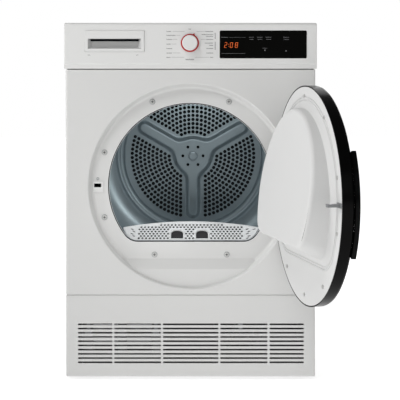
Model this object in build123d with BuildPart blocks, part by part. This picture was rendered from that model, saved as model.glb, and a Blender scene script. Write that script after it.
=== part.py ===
"""Condenser tumble dryer, freestanding, door standing open.

Millimetres. +Z up, the front looks along -Y, +X is to the right of someone facing the machine.
The origin is on the floor, in the middle of the four feet. A depth is measured from the front
panel's outer face into the machine. Door pieces are drawn as if the door were shut, and every
door plane is swung open about the hinge axis by DOOR_OPEN degrees.
"""

import os
from math import atan2, cos, degrees, hypot, pi, radians, sin, sqrt

from build123d import *

# ---------------------------------------------------------------- driving dimensions
WIDTH = 596.0                # control panel and worktop
BODY_WIDTH = 590.0           # front panel and side panels
HEIGHT = 845.0
BODY_DEPTH = 560.0           # front panel face to rear panel face
FRONT = -BODY_DEPTH / 2
FOOT_GAP = 8.0               # floor to the bottom edge of the service flap
SHEET = 1.6                  # folded steel

PLINTH_TOP = 200.5           # top edge of the service flap
PANEL_BOTTOM = 202.5
PANEL_TOP = 734.5
FASCIA_BOTTOM = 736.5
WORKTOP_BOTTOM = 829.0

DOOR_Z = 459.0               # centre of the door, the recess and the loading opening
RECESS_R = 240.5
RECESS_DEPTH = 20.0
OPENING_R = 197.5
CORNER_R = 40.0              # lower corners of the loading opening
SILL = 135.0                 # flat lower edge, below the door centre
LIP = 2.5                    # bulkhead lip seen inside the opening
PLUG_CORNER_R = 60.0         # the same two for the plug of the door
PLUG_SILL = 127.6
PLUG_SILL_DEEP = 106.0       # the plug's underside rises to clear the filter cover
PLUG_DEEP = 72.0             # depth of that outline

DOOR_R = 236.0
FLANGE_R = 233.2
HINGE_X = 215.0
HINGE_DEPTH = -15.0
DOOR_OPEN = 102.7

DRUM_Z = 506.0
DRUM_R = 284.0
DRUM_WALL = 1.2
DRUM_FRONT = 96.0
DRUM_REAR = 464.0
ROLLER_R = 35.0
ROLLER_GAP = 0.3
ROLLER_ANGLE = 35.0          # from straight down
MOTOR_X = 120.0
MOTOR_Z = 115.0
PULLEY_R = 9.0
BELT_THICK = 3.0

TANK_X0, TANK_X1 = -249.0, -109.0
TANK_Z0, TANK_Z1 = 777.0, 826.0
KNOB_X, KNOB_Z = -1.2, 797.0
WINDOW_X0, WINDOW_X1 = 69.0, 274.0
WINDOW_Z0, WINDOW_Z1 = 761.0, 826.5

BULKHEAD_FRONT = 30.0
REAR_BULKHEAD = 486.0
FILTER_HALF = 115.0
POCKET_D0, POCKET_D1 = 46.0, 72.0
POCKET_TOP = 322.0
FILTER_D0, FILTER_D1 = 52.0, 66.0
FILTER_Z0, FILTER_Z1 = 222.0, 331.5

BAY_X0, BAY_X1 = -262.0, -68.0      # condenser bay
BAY_TOP = 180.0
BAY_REAR = 440.0

FOOT_X, FOOT_Y = 250.0, 225.0

os.makedirs("parts", exist_ok=True)


# ---------------------------------------------------------------- helpers
def save(piece, name):
    """Label a finished piece and write its STEP file."""
    piece.part.label = name
    export_step(piece.part, f"parts/{name}.step")


def swing(x, depth, angle):
    """World X and Y of a point given by x and depth, turned about the door hinge."""
    dx, dy = x - HINGE_X, depth - HINGE_DEPTH
    c, s = cos(radians(angle)), sin(radians(angle))
    return HINGE_X + c * dx - s * dy, FRONT + HINGE_DEPTH + s * dx + c * dy


def face(depth, x=0.0, z=0.0, angle=0.0):
    """Plane that looks out of the front: local x to the right, local y up, normal to the viewer."""
    wx, wy = swing(x, depth, angle)
    c, s = cos(radians(angle)), sin(radians(angle))
    return Plane(origin=(wx, wy, z), x_dir=(c, s, 0), z_dir=(s, -c, 0))


def lathe(x=0.0, z=0.0, angle=0.0):
    """Plane for a turned profile: local x is the radius, local y the depth."""
    wx, wy = swing(x, 0.0, angle)
    c, s = cos(radians(angle)), sin(radians(angle))
    return Plane(origin=(wx, wy, z), x_dir=(c, s, 0), z_dir=(0, 0, 1))


def lathe_axis(x=0.0, z=0.0, angle=0.0):
    """Axis of the turned profiles of lathe()."""
    plane = lathe(x, z, angle)
    return Axis(plane.origin, plane.y_dir)


def block(x, depth, z, angle=0.0, mode=Mode.ADD):
    """Box between two x, two depths and two heights."""
    middle = face((depth[0] + depth[1]) / 2, (x[0] + x[1]) / 2, (z[0] + z[1]) / 2, angle)
    with Locations(middle):
        Box(x[1] - x[0], z[1] - z[0], depth[1] - depth[0], mode=mode)


def rod(x, z, radius, depth, angle=0.0, mode=Mode.ADD):
    """Cylinder along the machine's depth."""
    with Locations(face(depth[1], x, z, angle)):
        Cylinder(
            radius, depth[1] - depth[0], mode=mode, align=(Align.CENTER, Align.CENTER, Align.MIN)
        )


def post(x, depth, radius, z, angle=0.0, mode=Mode.ADD):
    """Upright cylinder."""
    wx, wy = swing(x, depth, angle)
    with Locations((wx, wy, z[0])):
        Cylinder(radius, z[1] - z[0], mode=mode, align=(Align.CENTER, Align.CENTER, Align.MIN))


def ring(x, z, outer, inner, depth):
    """Tube along the machine's depth."""
    rod(x, z, outer, depth)
    rod(x, z, inner, (depth[0] - 1, depth[1] + 1), mode=Mode.SUBTRACT)


def opening_outline(inset, sill=SILL, corner=CORNER_R):
    """The loading opening: a circle with a flat sill and rounded lower corners."""
    reach = OPENING_R - corner
    corner_y = corner - sill
    corner_x = sqrt(reach**2 - corner_y**2)
    big, small = OPENING_R - inset, corner - inset
    side = (corner_x * big / reach, corner_y * big / reach)
    half = radians((degrees(atan2(corner_y, corner_x)) - 90) / 2)
    middle = (corner_x + small * cos(half), corner_y + small * sin(half))
    foot = (corner_x, corner_y - small)
    with BuildSketch() as outline:
        with BuildLine():
            Line((-foot[0], foot[1]), foot)
            ThreePointArc(foot, middle, side)
            ThreePointArc(side, (0, big), (-side[0], side[1]))
            ThreePointArc((-side[0], side[1]), (-middle[0], middle[1]), (-foot[0], foot[1]))
        make_face()
    return outline.sketch


def on_circle(radius, angle):
    """Point on a circle round the origin, angle in degrees from +X."""
    return radius * cos(radians(angle)), radius * sin(radians(angle))


# ---------------------------------------------------------------- fastener places
RECESS_SCREWS = [
    (sx * x, DOOR_Z + z)
    for x, z in ((91, 199.6), (205, 79), (205, -75.5), (86, -164.5))
    for sx in (-1, 1)
]
DOOR_SCREWS = [on_circle(213.0, a) for a in (90, 53, 127, 165.5, 195.5, 235.4, 270, 306)]
HUB_BOLTS = [on_circle(28.0, 60 * k) for k in range(6)]
REAR_SCREWS = [(sx * 275, z) for sx in (-1, 1) for z in (90, 250, 450, 650, 790)]
COVER_SCREWS = [on_circle(246.0, a) for a in (30, 90, 150, 210, 330)]
SCREW_SHANK = 2.0
SCREW_CLEAR = 2.1


# ---------------------------------------------------------------- base, feet and casing
with BuildPart() as base_tray:
    block((-288, 288), (22, 552), (12, 18))
    for sx in (-1, 1):
        block(sorted((sx * 284, sx * 288)), (22, 552), (18, 60))
    block((-284, 284), (548, 552), (18, 60))
    # walls of the condenser bay
    block((BAY_X0, BAY_X0 + 4), (40, BAY_REAR), (18, BAY_TOP))
    block((BAY_X1 - 4, BAY_X1), (40, BAY_REAR), (18, BAY_TOP))
    block((BAY_X0, BAY_X1), (BAY_REAR, BAY_REAR + 4), (18, BAY_TOP))
    # two cradles that carry the motor
    for cradle in (185, 300):
        block((MOTOR_X - 52, MOTOR_X + 52), (cradle, cradle + 14), (18, 92))
    rod(MOTOR_X, MOTOR_Z, 55.0, (180, 320), mode=Mode.SUBTRACT)
    # scroll housing of the process fan
    block((MOTOR_X - 60, MOTOR_X + 60), (426, 484), (18, 60))
    rod(MOTOR_X, MOTOR_Z, 84, (424, 486))
    rod(MOTOR_X, MOTOR_Z, 80, (428, 490), mode=Mode.SUBTRACT)
    rod(MOTOR_X, MOTOR_Z, 38, (420, 430), mode=Mode.SUBTRACT)
    # sump walls of the condensate pump
    block((-242, -158), (462, 466), (18, 44))
    block((-242, -158), (530, 534), (18, 44))
    block((-242, -238), (462, 534), (18, 44))
    block((-162, -158), (462, 534), (18, 44))
    # threaded sockets of the feet
    for sx in (-1, 1):
        for y in (-FOOT_Y, FOOT_Y):
            post(sx * FOOT_X, y - FRONT, 11, (18, 34))
            post(sx * FOOT_X, y - FRONT, 5.1, (0, 32), mode=Mode.SUBTRACT)
    # sockets of the service flap's hinge pins
    for sx in (-1, 1):
        block(sorted((sx * 286, sx * 280)), (6, 30), (10, 22))
        with Locations(Plane(origin=(sx * 274, FRONT + 12, 16), z_dir=(sx, 0, 0))):
            Hole(2.55, depth=30)
save(base_tray, "base_tray")

FEET = {
    "foot_front_left": (-FOOT_X, -FOOT_Y),
    "foot_front_right": (FOOT_X, -FOOT_Y),
    "foot_rear_left": (-FOOT_X, FOOT_Y),
    "foot_rear_right": (FOOT_X, FOOT_Y),
}
for foot_name, (foot_x, foot_y) in FEET.items():
    with BuildPart() as foot:
        post(foot_x, foot_y - FRONT, 19, (0, 7.5))
        fillet(foot.edges().group_by(Axis.Z)[-1], 2)
        post(foot_x, foot_y - FRONT, 5, (7.5, 30))
        chamfer(foot.edges().group_by(Axis.Z)[-1], 1)
    save(foot, foot_name)

for side, name in ((-1, "left_side_panel"), (1, "right_side_panel")):
    outer = side * BODY_WIDTH / 2
    with BuildPart() as side_panel:
        block(sorted((outer, outer - side * SHEET)), (16.4, 558), (12, WORKTOP_BOTTOM - 1))
        block(sorted((outer + side, outer - side * 4)), (0, 31), (PANEL_TOP + 1, HEIGHT),
              mode=Mode.SUBTRACT)
        block(sorted((outer - side * SHEET, outer - side * 5)), (542, 543.5), (62, 820))
        # pressed stiffening beads
        with BuildSketch(Plane.YZ.offset(outer)):
            with Locations((0, 330), (0, 520)):
                SlotOverall(400, 26)
        extrude(amount=-side * 2 * SHEET)
        with BuildSketch(Plane.YZ.offset(outer)):
            with Locations((0, 330), (0, 520)):
                SlotOverall(396, 22)
        extrude(amount=-side * SHEET, mode=Mode.SUBTRACT)
    save(side_panel, name)

with BuildPart() as rear_panel:
    block((-293, 293), (558.4, 560), (14, 826))
    block((-285, 285), (553, 558.4), (22, 24))
    # duct window under the cover, and rows of cooling louvres
    rod(0, DRUM_Z, 225, (550, 565), mode=Mode.SUBTRACT)
    with BuildSketch(face(560)):
        with Locations((MOTOR_X, MOTOR_Z + 60)):
            RectangleRounded(150, 270, 20)
    extrude(amount=4, mode=Mode.SUBTRACT)
    with BuildSketch(face(560)):
        with GridLocations(0, 11, 1, 8):
            with Locations((-190, 150)):
                SlotOverall(110, 5)
    extrude(amount=4, mode=Mode.SUBTRACT)
    for x, z in REAR_SCREWS:
        rod(x, z, SCREW_CLEAR, (555, 562), mode=Mode.SUBTRACT)
    rod(-240, 700, 9.0, (555, 562), mode=Mode.SUBTRACT)
save(rear_panel, "rear_panel")


def duct_outline(grow):
    """Round cover over the drum's rear with a leg down to the fan."""
    with BuildSketch() as outline:
        with Locations((0, DRUM_Z)):
            Circle(238 + grow)
        with Locations((MOTOR_X, 286)):
            Rectangle(170 + 2 * grow, 440 + 2 * grow)
        fillet(outline.vertices().group_by(Axis.Y)[0], 24)
    return outline.sketch


with BuildPart() as rear_duct_cover:
    with BuildSketch(face(580)):
        add(duct_outline(0))
    extrude(amount=20)
    fillet(rear_duct_cover.edges().group_by(Axis.Y)[-1], 3)
    with BuildSketch(face(561.6)):
        add(duct_outline(14))
    extrude(amount=1.6)
    with BuildSketch(face(578.4)):
        add(duct_outline(-1.6))
    extrude(amount=20, mode=Mode.SUBTRACT)
    for x, z in COVER_SCREWS:
        rod(x, DRUM_Z + z, SCREW_CLEAR, (558, 562), mode=Mode.SUBTRACT)
save(rear_duct_cover, "rear_duct_cover")

with BuildPart() as top_cover:
    block((-WIDTH / 2, WIDTH / 2), (32, 572), (WORKTOP_BOTTOM, HEIGHT))
    fillet(top_cover.edges().group_by(Axis.Z)[-1], 3)
    block((-288, 288), (36, 560), (WORKTOP_BOTTOM - 1, HEIGHT - 4), mode=Mode.SUBTRACT)
save(top_cover, "top_cover")


# ---------------------------------------------------------------- front panel with its recess
RAMP_HIGH, RAMP_LOW = -174.0, -197.0     # lower step of the recess, from the door centre
CRESCENT_DEPTH = 8.0
RIM_R = 4.0


def recess_cavity(grow):
    """Dished recess round the opening; grow gives the sheet's other side."""
    rim = RIM_R - grow
    foot = 12.0
    bend = 8.0 + grow
    with BuildPart() as cavity:
        with BuildSketch(lathe(0, DOOR_Z)):
            with BuildLine():
                rim_x = RECESS_R + RIM_R
                Line((0, grow), (rim_x, grow))
                RadiusArc((rim_x, grow), (rim_x - rim, RIM_R), rim)
                Line((rim_x - rim, RIM_R), (229 + bend, foot))
                ThreePointArc(
                    (229 + bend, foot),
                    (229 + bend * cos(radians(45)), foot + bend * sin(radians(45))),
                    (229, foot + bend),
                )
                Line((229, foot + bend), (0, foot + bend))
                Line((0, foot + bend), (0, grow))
            make_face()
        revolve(axis=lathe_axis(0, DOOR_Z))
        if grow:
            rod(0, DOOR_Z, RECESS_R + RIM_R, (0, grow))
        with BuildSketch(Plane(origin=(-300, FRONT, DOOR_Z), x_dir=(0, 1, 0), z_dir=(1, 0, 0))):
            with BuildLine():
                Polyline(
                    (RECESS_DEPTH + grow, RAMP_HIGH - grow),
                    (CRESCENT_DEPTH + grow, RAMP_LOW - grow),
                    (CRESCENT_DEPTH + grow, -300),
                    (60, -300),
                    (60, RAMP_HIGH - grow),
                    close=True,
                )
            make_face()
        extrude(amount=600, mode=Mode.SUBTRACT)
    return cavity.part


recess_inside = recess_cavity(0.0)
recess_outside = recess_cavity(SHEET)
LATCH_X, LATCH_Z = -221.0, DOOR_Z + 0.6

with BuildPart() as front_panel:
    with BuildSketch(face(16)):
        with Locations((0, (PANEL_TOP + PANEL_BOTTOM) / 2)):
            Rectangle(BODY_WIDTH, PANEL_TOP - PANEL_BOTTOM)
    extrude(amount=16)
    fillet(front_panel.edges().filter_by(Axis.Z).group_by(Axis.Y)[0], 5)
    front_edges = front_panel.faces().sort_by(Axis.Y)[0].edges()
    fillet(front_edges.filter_by(Axis.X), 2)
    block(
        (-BODY_WIDTH / 2 + SHEET, BODY_WIDTH / 2 - SHEET),
        (SHEET, 20),
        (PANEL_BOTTOM + SHEET, PANEL_TOP - SHEET),
        mode=Mode.SUBTRACT,
    )
    add(recess_outside)
    add(recess_inside, mode=Mode.SUBTRACT)
    # hemmed edge of the loading opening
    with BuildSketch(face(27, 0, DOOR_Z)):
        add(opening_outline(-SHEET))
    extrude(amount=7)
    with BuildSketch(face(30, 0, DOOR_Z)):
        add(opening_outline(0))
    extrude(amount=20, mode=Mode.SUBTRACT)
    for x, z in RECESS_SCREWS:
        rod(x, z, SCREW_CLEAR, (15, 25), mode=Mode.SUBTRACT)
    block(
        (LATCH_X - 9.5, LATCH_X + 9.5), (10, 30), (LATCH_Z - 5.5, LATCH_Z + 5.5), mode=Mode.SUBTRACT
    )
save(front_panel, "front_panel")

HEAD_R, HEAD_HIGH = 6.0, 2.6
with BuildPart() as casing_screws:
    for x, z in RECESS_SCREWS:
        rod(x, z, HEAD_R, (RECESS_DEPTH - HEAD_HIGH, RECESS_DEPTH))
        rod(x, z, SCREW_SHANK, (RECESS_DEPTH, RECESS_DEPTH + 16))
    fillet(casing_screws.edges().group_by(Axis.Y)[0], 1.6)
    for x, z in RECESS_SCREWS:
        block((x - 3, x + 3), (17, 18.6), (z - 0.6, z + 0.6), mode=Mode.SUBTRACT)
        block((x - 0.6, x + 0.6), (17, 18.6), (z - 3, z + 3), mode=Mode.SUBTRACT)
    for x, z in REAR_SCREWS:
        rod(x, z, HEAD_R, (BODY_DEPTH, BODY_DEPTH + HEAD_HIGH))
        rod(x, z, SCREW_SHANK, (BODY_DEPTH - 10, BODY_DEPTH))
    fillet(casing_screws.edges().group_by(Axis.Y)[-1], 1.6)
    for x, z in REAR_SCREWS:
        block((x - 3, x + 3), (561.4, 563), (z - 0.6, z + 0.6), mode=Mode.SUBTRACT)
        block((x - 0.6, x + 0.6), (561.4, 563), (z - 3, z + 3), mode=Mode.SUBTRACT)
save(casing_screws, "casing_screws")


# ---------------------------------------------------------------- front bulkhead, filter and seals
FLANGE_TUBE_R = 265.0
roller_reach = DRUM_R + ROLLER_R + ROLLER_GAP
ROLLER_X = roller_reach * sin(radians(ROLLER_ANGLE))
ROLLER_Z = DRUM_Z - roller_reach * cos(radians(ROLLER_ANGLE))

with BuildPart() as front_bulkhead:
    block((-286, 286), (BULKHEAD_FRONT, 33), (205, 772))
    ring(0, DRUM_Z, FLANGE_TUBE_R, FLANGE_TUBE_R - 3, (32, 92))
    for sx in (-1, 1):
        rod(sx * ROLLER_X, ROLLER_Z, 13, (32, 102))
    # pocket that holds the lint filter, open at the top and at the bottom
    block((-124, 124), (POCKET_D0, POCKET_D1), (212, POCKET_TOP))
    block((-124, 124), (32, POCKET_D0 + 1), (POCKET_TOP - 6, POCKET_TOP - 2))
    block((-119, 119), (POCKET_D0 + 3, POCKET_D1 - 3), (200, 340), mode=Mode.SUBTRACT)
    with BuildSketch(face(34, 0, DOOR_Z)):
        add(opening_outline(LIP))
    extrude(amount=6, mode=Mode.SUBTRACT)
    for sx in (-1, 1):
        rod(sx * ROLLER_X, ROLLER_Z, 6, (28, 110), mode=Mode.SUBTRACT)
    for x, z in RECESS_SCREWS:
        rod(x, z, SCREW_CLEAR, (28, 38), mode=Mode.SUBTRACT)
    block(
        (LATCH_X - 14, LATCH_X + 14), (28, 34), (LATCH_Z - 13, LATCH_Z + 13), mode=Mode.SUBTRACT
    )
save(front_bulkhead, "front_bulkhead")

with BuildPart() as opening_seal:
    with BuildSketch(face(30, 0, DOOR_Z)):
        add(opening_outline(0.2))
        add(opening_outline(LIP + 0.3), mode=Mode.SUBTRACT)
    extrude(amount=7)
save(opening_seal, "opening_seal")

with BuildPart() as drum_felt_seals:
    ring(0, DRUM_Z, 269.7, FLANGE_TUBE_R, (80, 91))
    ring(0, DRUM_Z, 283, 262, (DRUM_REAR + 0.5, REAR_BULKHEAD))
save(drum_felt_seals, "drum_felt_seals")

with BuildPart() as moisture_sensor_strips:
    for z in (276, 292):
        block((-80, 80), (POCKET_D1, POCKET_D1 + 1.2), (z, z + 7))
save(moisture_sensor_strips, "moisture_sensor_strips")

COVER_LOW, COVER_HIGH = (34.5, 324.0), (90.0, 364.0)     # depth and height of the cover's ends
COVER_INSET = 1.5            # inside the loading opening
COVER_CROWN_R = 1100.0
FINGER_HOLES = ((-47.5, -18.5), (12.5, 41.5))
FINGER_Z = (331.5, 347.0)
with BuildPart() as filter_cover:
    with BuildSketch(Plane(origin=(-200, FRONT, 0), x_dir=(0, 1, 0), z_dir=(1, 0, 0))):
        with BuildLine():
            Polyline(
                COVER_LOW,
                (COVER_LOW[0], COVER_LOW[1] + 3),
                (COVER_HIGH[0] - 4, COVER_HIGH[1]),
                COVER_HIGH,
                (COVER_HIGH[0], COVER_HIGH[1] - 4),
                (COVER_LOW[0] + 7, COVER_LOW[1]),
                close=True,
            )
        make_face()
    extrude(amount=400)
    with BuildSketch(face(110, 0, DOOR_Z)):
        add(opening_outline(COVER_INSET))
    extrude(amount=80, mode=Mode.INTERSECT)
    # rounded shoulders of the upper edge
    with BuildSketch(face(110, 0, COVER_HIGH[1] + 0.4 - COVER_CROWN_R)):
        Circle(COVER_CROWN_R)
    extrude(amount=80, mode=Mode.INTERSECT)
    for finger_x in FINGER_HOLES:
        block(finger_x, (30, 100), FINGER_Z, mode=Mode.SUBTRACT)
save(filter_cover, "filter_cover")

with BuildPart() as filter_frame:
    block((-FILTER_HALF, FILTER_HALF), (FILTER_D0, FILTER_D1), (FILTER_Z0, FILTER_Z1))
    for x0 in (-107, -34, 39):
        block((x0, x0 + 68), (FILTER_D0 - 1, FILTER_D1 + 1), (FILTER_Z0 + 8, FILTER_Z1 - 6),
              mode=Mode.SUBTRACT)
save(filter_frame, "filter_frame")

with BuildPart() as filter_screens:
    for x0 in (-107, -34, 39):
        for depth in (FILTER_D0 + 2, FILTER_D1 - 3):
            block((x0, x0 + 68), (depth, depth + 1), (FILTER_Z0 + 8, FILTER_Z1 - 6))
save(filter_screens, "filter_screens")


# ---------------------------------------------------------------- door latch and hinge on the body
with BuildPart() as latch_plate:
    block((LATCH_X - 10.5, LATCH_X + 12.5), (17, 19.2), (LATCH_Z - 16, LATCH_Z + 9))
    block((LATCH_X - 12.5, LATCH_X + 12.5), (21.8, 50), (LATCH_Z - 9, LATCH_Z + 9))
    block((LATCH_X - 9, LATCH_X + 9), (18, 24), (LATCH_Z - 5, LATCH_Z + 5))
    block(
        (LATCH_X - 8.5, LATCH_X + 8.5), (16, 40), (LATCH_Z - 4.5, LATCH_Z + 4.5), mode=Mode.SUBTRACT
    )
    block(
        (LATCH_X - 8.5, LATCH_X + 11), (24, 48), (LATCH_Z - 7, LATCH_Z + 7), mode=Mode.SUBTRACT
    )
save(latch_plate, "latch_plate")

with BuildPart() as latch_catch:
    block((LATCH_X + 4.2, LATCH_X + 7.4), (32, 46), (LATCH_Z - 6, LATCH_Z + 6))
    fillet(latch_catch.edges().filter_by(Axis.Z).group_by(Axis.X)[0], 1.2)
save(latch_catch, "latch_catch")

EAR_Z = (-46.0, 46.0)
PIN_R = 4.0
with BuildPart() as hinge_bracket:
    block((200.5, 221), (17, 20), (DOOR_Z - 62, DOOR_Z + 62))
    for ear in EAR_Z:
        with BuildSketch(Plane.XY.offset(DOOR_Z + ear - 4)):
            with BuildLine() as arm:
                Polyline(
                    (HINGE_X, FRONT + HINGE_DEPTH),
                    (HINGE_X - 10, FRONT + HINGE_DEPTH + 18),
                    (HINGE_X - 5, FRONT + 17.5),
                )
            trace(line_width=9)
            with Locations((HINGE_X, FRONT + HINGE_DEPTH)):
                Circle(7)
        extrude(amount=8)
    block((190, 230), (20, 40), (DOOR_Z - 60, DOOR_Z + 60), mode=Mode.SUBTRACT)
    for ear in EAR_Z:
        post(HINGE_X, HINGE_DEPTH, PIN_R + 0.05, (DOOR_Z + ear - 6, DOOR_Z + ear + 6),
             mode=Mode.SUBTRACT)
save(hinge_bracket, "hinge_bracket")


# ---------------------------------------------------------------- door, drawn shut and swung open
def door_lathe_part(points):
    """Closed profile of radius and depth points, turned about the door's centre."""
    with BuildSketch(lathe(0, DOOR_Z, DOOR_OPEN)) as profile:
        with BuildLine():
            Polyline(*points, close=True)
        make_face()
    return profile.sketch


with BuildPart() as door_ring:
    add(revolve(
        door_lathe_part([
            (DOOR_R - 5, -28), (DOOR_R - 1.5, -26), (DOOR_R, -22), (DOOR_R, -1), (FLANGE_R + 0.3, -1),
            (FLANGE_R + 0.3, -24), (214, -24), (214, -26.5), (219, -28),
        ]),
        axis=lathe_axis(0, DOOR_Z, DOOR_OPEN), mode=Mode.PRIVATE,
    ))
    # notches that let the hinge ears leave the rim
    for ear in EAR_Z:
        block(
            (200, 240), (-22, 2), (DOOR_Z + ear - 6.5, DOOR_Z + ear + 6.5),
            angle=DOOR_OPEN, mode=Mode.SUBTRACT,
        )
save(door_ring, "door_ring")

LENS_R, LENS_RISE, LENS_THICK = 213.5, 7.0, 3.0
with BuildPart() as door_outer_panel:
    lens_curve = (LENS_R**2 + LENS_RISE**2) / (2 * LENS_RISE)
    half_way = LENS_RISE - lens_curve + sqrt(lens_curve**2 - (LENS_R / 2) ** 2)
    with BuildSketch(lathe(0, DOOR_Z, DOOR_OPEN)):
        with BuildLine():
            rim = -26.0
            ThreePointArc((0, rim - LENS_RISE), (LENS_R / 2, rim - half_way), (LENS_R, rim))
            Line((LENS_R, rim), (LENS_R, rim + LENS_THICK))
            ThreePointArc(
                (LENS_R, rim + LENS_THICK), (LENS_R / 2, rim + LENS_THICK - half_way),
                (0, rim + LENS_THICK - LENS_RISE),
            )
            Line((0, rim + LENS_THICK - LENS_RISE), (0, rim - LENS_RISE))
        make_face()
    revolve(axis=lathe_axis(0, DOOR_Z, DOOR_OPEN))
save(door_outer_panel, "door_outer_panel")


def plug_body(inset, back):
    """Plug of the inner panel, deeper towards its foot; inset gives the inside of its wall."""
    top_depth, foot_depth = 24.0 - inset, 67.0 - inset
    with BuildPart() as body:
        # ramp from the flange up to the plug
        with BuildSketch(face(back, 0, DOOR_Z, DOOR_OPEN)):
            add(opening_outline(-5.0 + inset, PLUG_SILL, PLUG_CORNER_R))
        with BuildSketch(face(8.0 - inset, 0, DOOR_Z, DOOR_OPEN)):
            add(opening_outline(9.0 + inset, PLUG_SILL, PLUG_CORNER_R))
        loft()
        with BuildSketch(face(8.0 - inset, 0, DOOR_Z, DOOR_OPEN)):
            add(opening_outline(9.0 + inset, PLUG_SILL, PLUG_CORNER_R))
        with BuildSketch(face(PLUG_DEEP, 0, DOOR_Z, DOOR_OPEN)):
            add(opening_outline(17.0 + inset, PLUG_SILL_DEEP, PLUG_CORNER_R))
        loft()
        # slanted front of the plug
        plane = face(0, 0, DOOR_Z, DOOR_OPEN)
        beside = plane.origin - plane.x_dir * 300
        with BuildSketch(Plane(beside, x_dir=-plane.z_dir, z_dir=plane.x_dir)):
            with BuildLine():
                slope = (foot_depth - top_depth) / 310
                Polyline(
                    (top_depth - 110 * slope, 300), (top_depth + 490 * slope, -300),
                    (200, -300), (200, 300), close=True,
                )
            make_face()
        extrude(amount=600, mode=Mode.SUBTRACT)
    return body.part


plug_outside = plug_body(0.0, -1.0)
plug_inside = plug_body(2.5, -3.5)
with BuildPart() as door_inner_panel:
    add(plug_outside)
    plug_top = door_inner_panel.faces().sort_by(
        Axis((0, 0, 0), face(0, 0, 0, DOOR_OPEN).z_dir)
    )[0]
    fillet(plug_top.edges(), 10)
    with Locations(face(-1, 0, DOOR_Z, DOOR_OPEN)):
        Cylinder(FLANGE_R, 2.4, align=(Align.CENTER, Align.CENTER, Align.MIN))
    add(plug_inside, mode=Mode.SUBTRACT)
    for x, z in DOOR_SCREWS:
        rod(x, DOOR_Z + z, 1.9, (-5, 0), angle=DOOR_OPEN, mode=Mode.SUBTRACT)
    # slots for the hinge ears
    for ear in EAR_Z:
        block(
            (198, 240), (-6, 2), (DOOR_Z + ear - 6, DOOR_Z + ear + 6),
            angle=DOOR_OPEN, mode=Mode.SUBTRACT,
        )
save(door_inner_panel, "door_inner_panel")

with BuildPart() as door_screws:
    for x, z in DOOR_SCREWS:
        rod(x, DOOR_Z + z, 4.0, (-1, 1.0), angle=DOOR_OPEN)
        rod(x, DOOR_Z + z, 1.8, (-14, -1), angle=DOOR_OPEN)
    for x, z in DOOR_SCREWS:
        block((x - 2.2, x + 2.2), (0.2, 2), (DOOR_Z + z - 0.5, DOOR_Z + z + 0.5),
              angle=DOOR_OPEN, mode=Mode.SUBTRACT)
        block((x - 0.5, x + 0.5), (0.2, 2), (DOOR_Z + z - 2.2, DOOR_Z + z + 2.2),
              angle=DOOR_OPEN, mode=Mode.SUBTRACT)
save(door_screws, "door_screws")

HANDLE_HALF = 26.6        # half of the handle's arc, degrees
with BuildPart() as door_handle:
    with BuildSketch(face(-28, 0, DOOR_Z, DOOR_OPEN)):
        with BuildLine():
            outer_arc = CenterArc((0, 0), 238, 180 - HANDLE_HALF, 2 * HANDLE_HALF)
            inner_arc = CenterArc((0, 0), 219.5, 180 - HANDLE_HALF, 2 * HANDLE_HALF)
            Line(outer_arc @ 0, inner_arc @ 0)
            Line(outer_arc @ 1, inner_arc @ 1)
        make_face()
    extrude(amount=9.5)
    # finger groove on the inner side
    with BuildSketch(face(-28, 0, DOOR_Z, DOOR_OPEN)):
        with BuildLine():
            groove_out = CenterArc((0, 0), 231, 180 - HANDLE_HALF + 4, 2 * HANDLE_HALF - 8)
            groove_in = CenterArc((0, 0), 212, 180 - HANDLE_HALF + 4, 2 * HANDLE_HALF - 8)
            Line(groove_out @ 0, groove_in @ 0)
            Line(groove_out @ 1, groove_in @ 1)
        make_face()
    extrude(amount=6.5, mode=Mode.SUBTRACT)
save(door_handle, "door_handle")

with BuildPart() as door_hook:
    block((-227, -215), (-1, 26), (LATCH_Z - 3, LATCH_Z + 3), angle=DOOR_OPEN)
    block((-224, -214), (14, 21), (LATCH_Z - 4, LATCH_Z + 4), angle=DOOR_OPEN, mode=Mode.SUBTRACT)
    block((-232, -208), (-1, 0.8), (LATCH_Z - 5, LATCH_Z + 5), angle=DOOR_OPEN)
save(door_hook, "door_hook")

with BuildPart() as hinge_plate:
    block((170, 202), (-7, -3.4), (DOOR_Z - 66, DOOR_Z + 66), angle=DOOR_OPEN)
    for ear in EAR_Z:
        for lug in (-12, 5.5):
            low = DOOR_Z + ear + lug
            post(HINGE_X, HINGE_DEPTH, 7.5, (low, low + 6.5), angle=DOOR_OPEN)
            block((196, HINGE_X), (-20.5, -3.4), (low, low + 6.5), angle=DOOR_OPEN)
    # pins riveted into the lugs
    for ear in EAR_Z:
        post(HINGE_X, HINGE_DEPTH, PIN_R, (DOOR_Z + ear - 13, DOOR_Z + ear + 13), angle=DOOR_OPEN)
save(hinge_plate, "hinge_plate")


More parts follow.
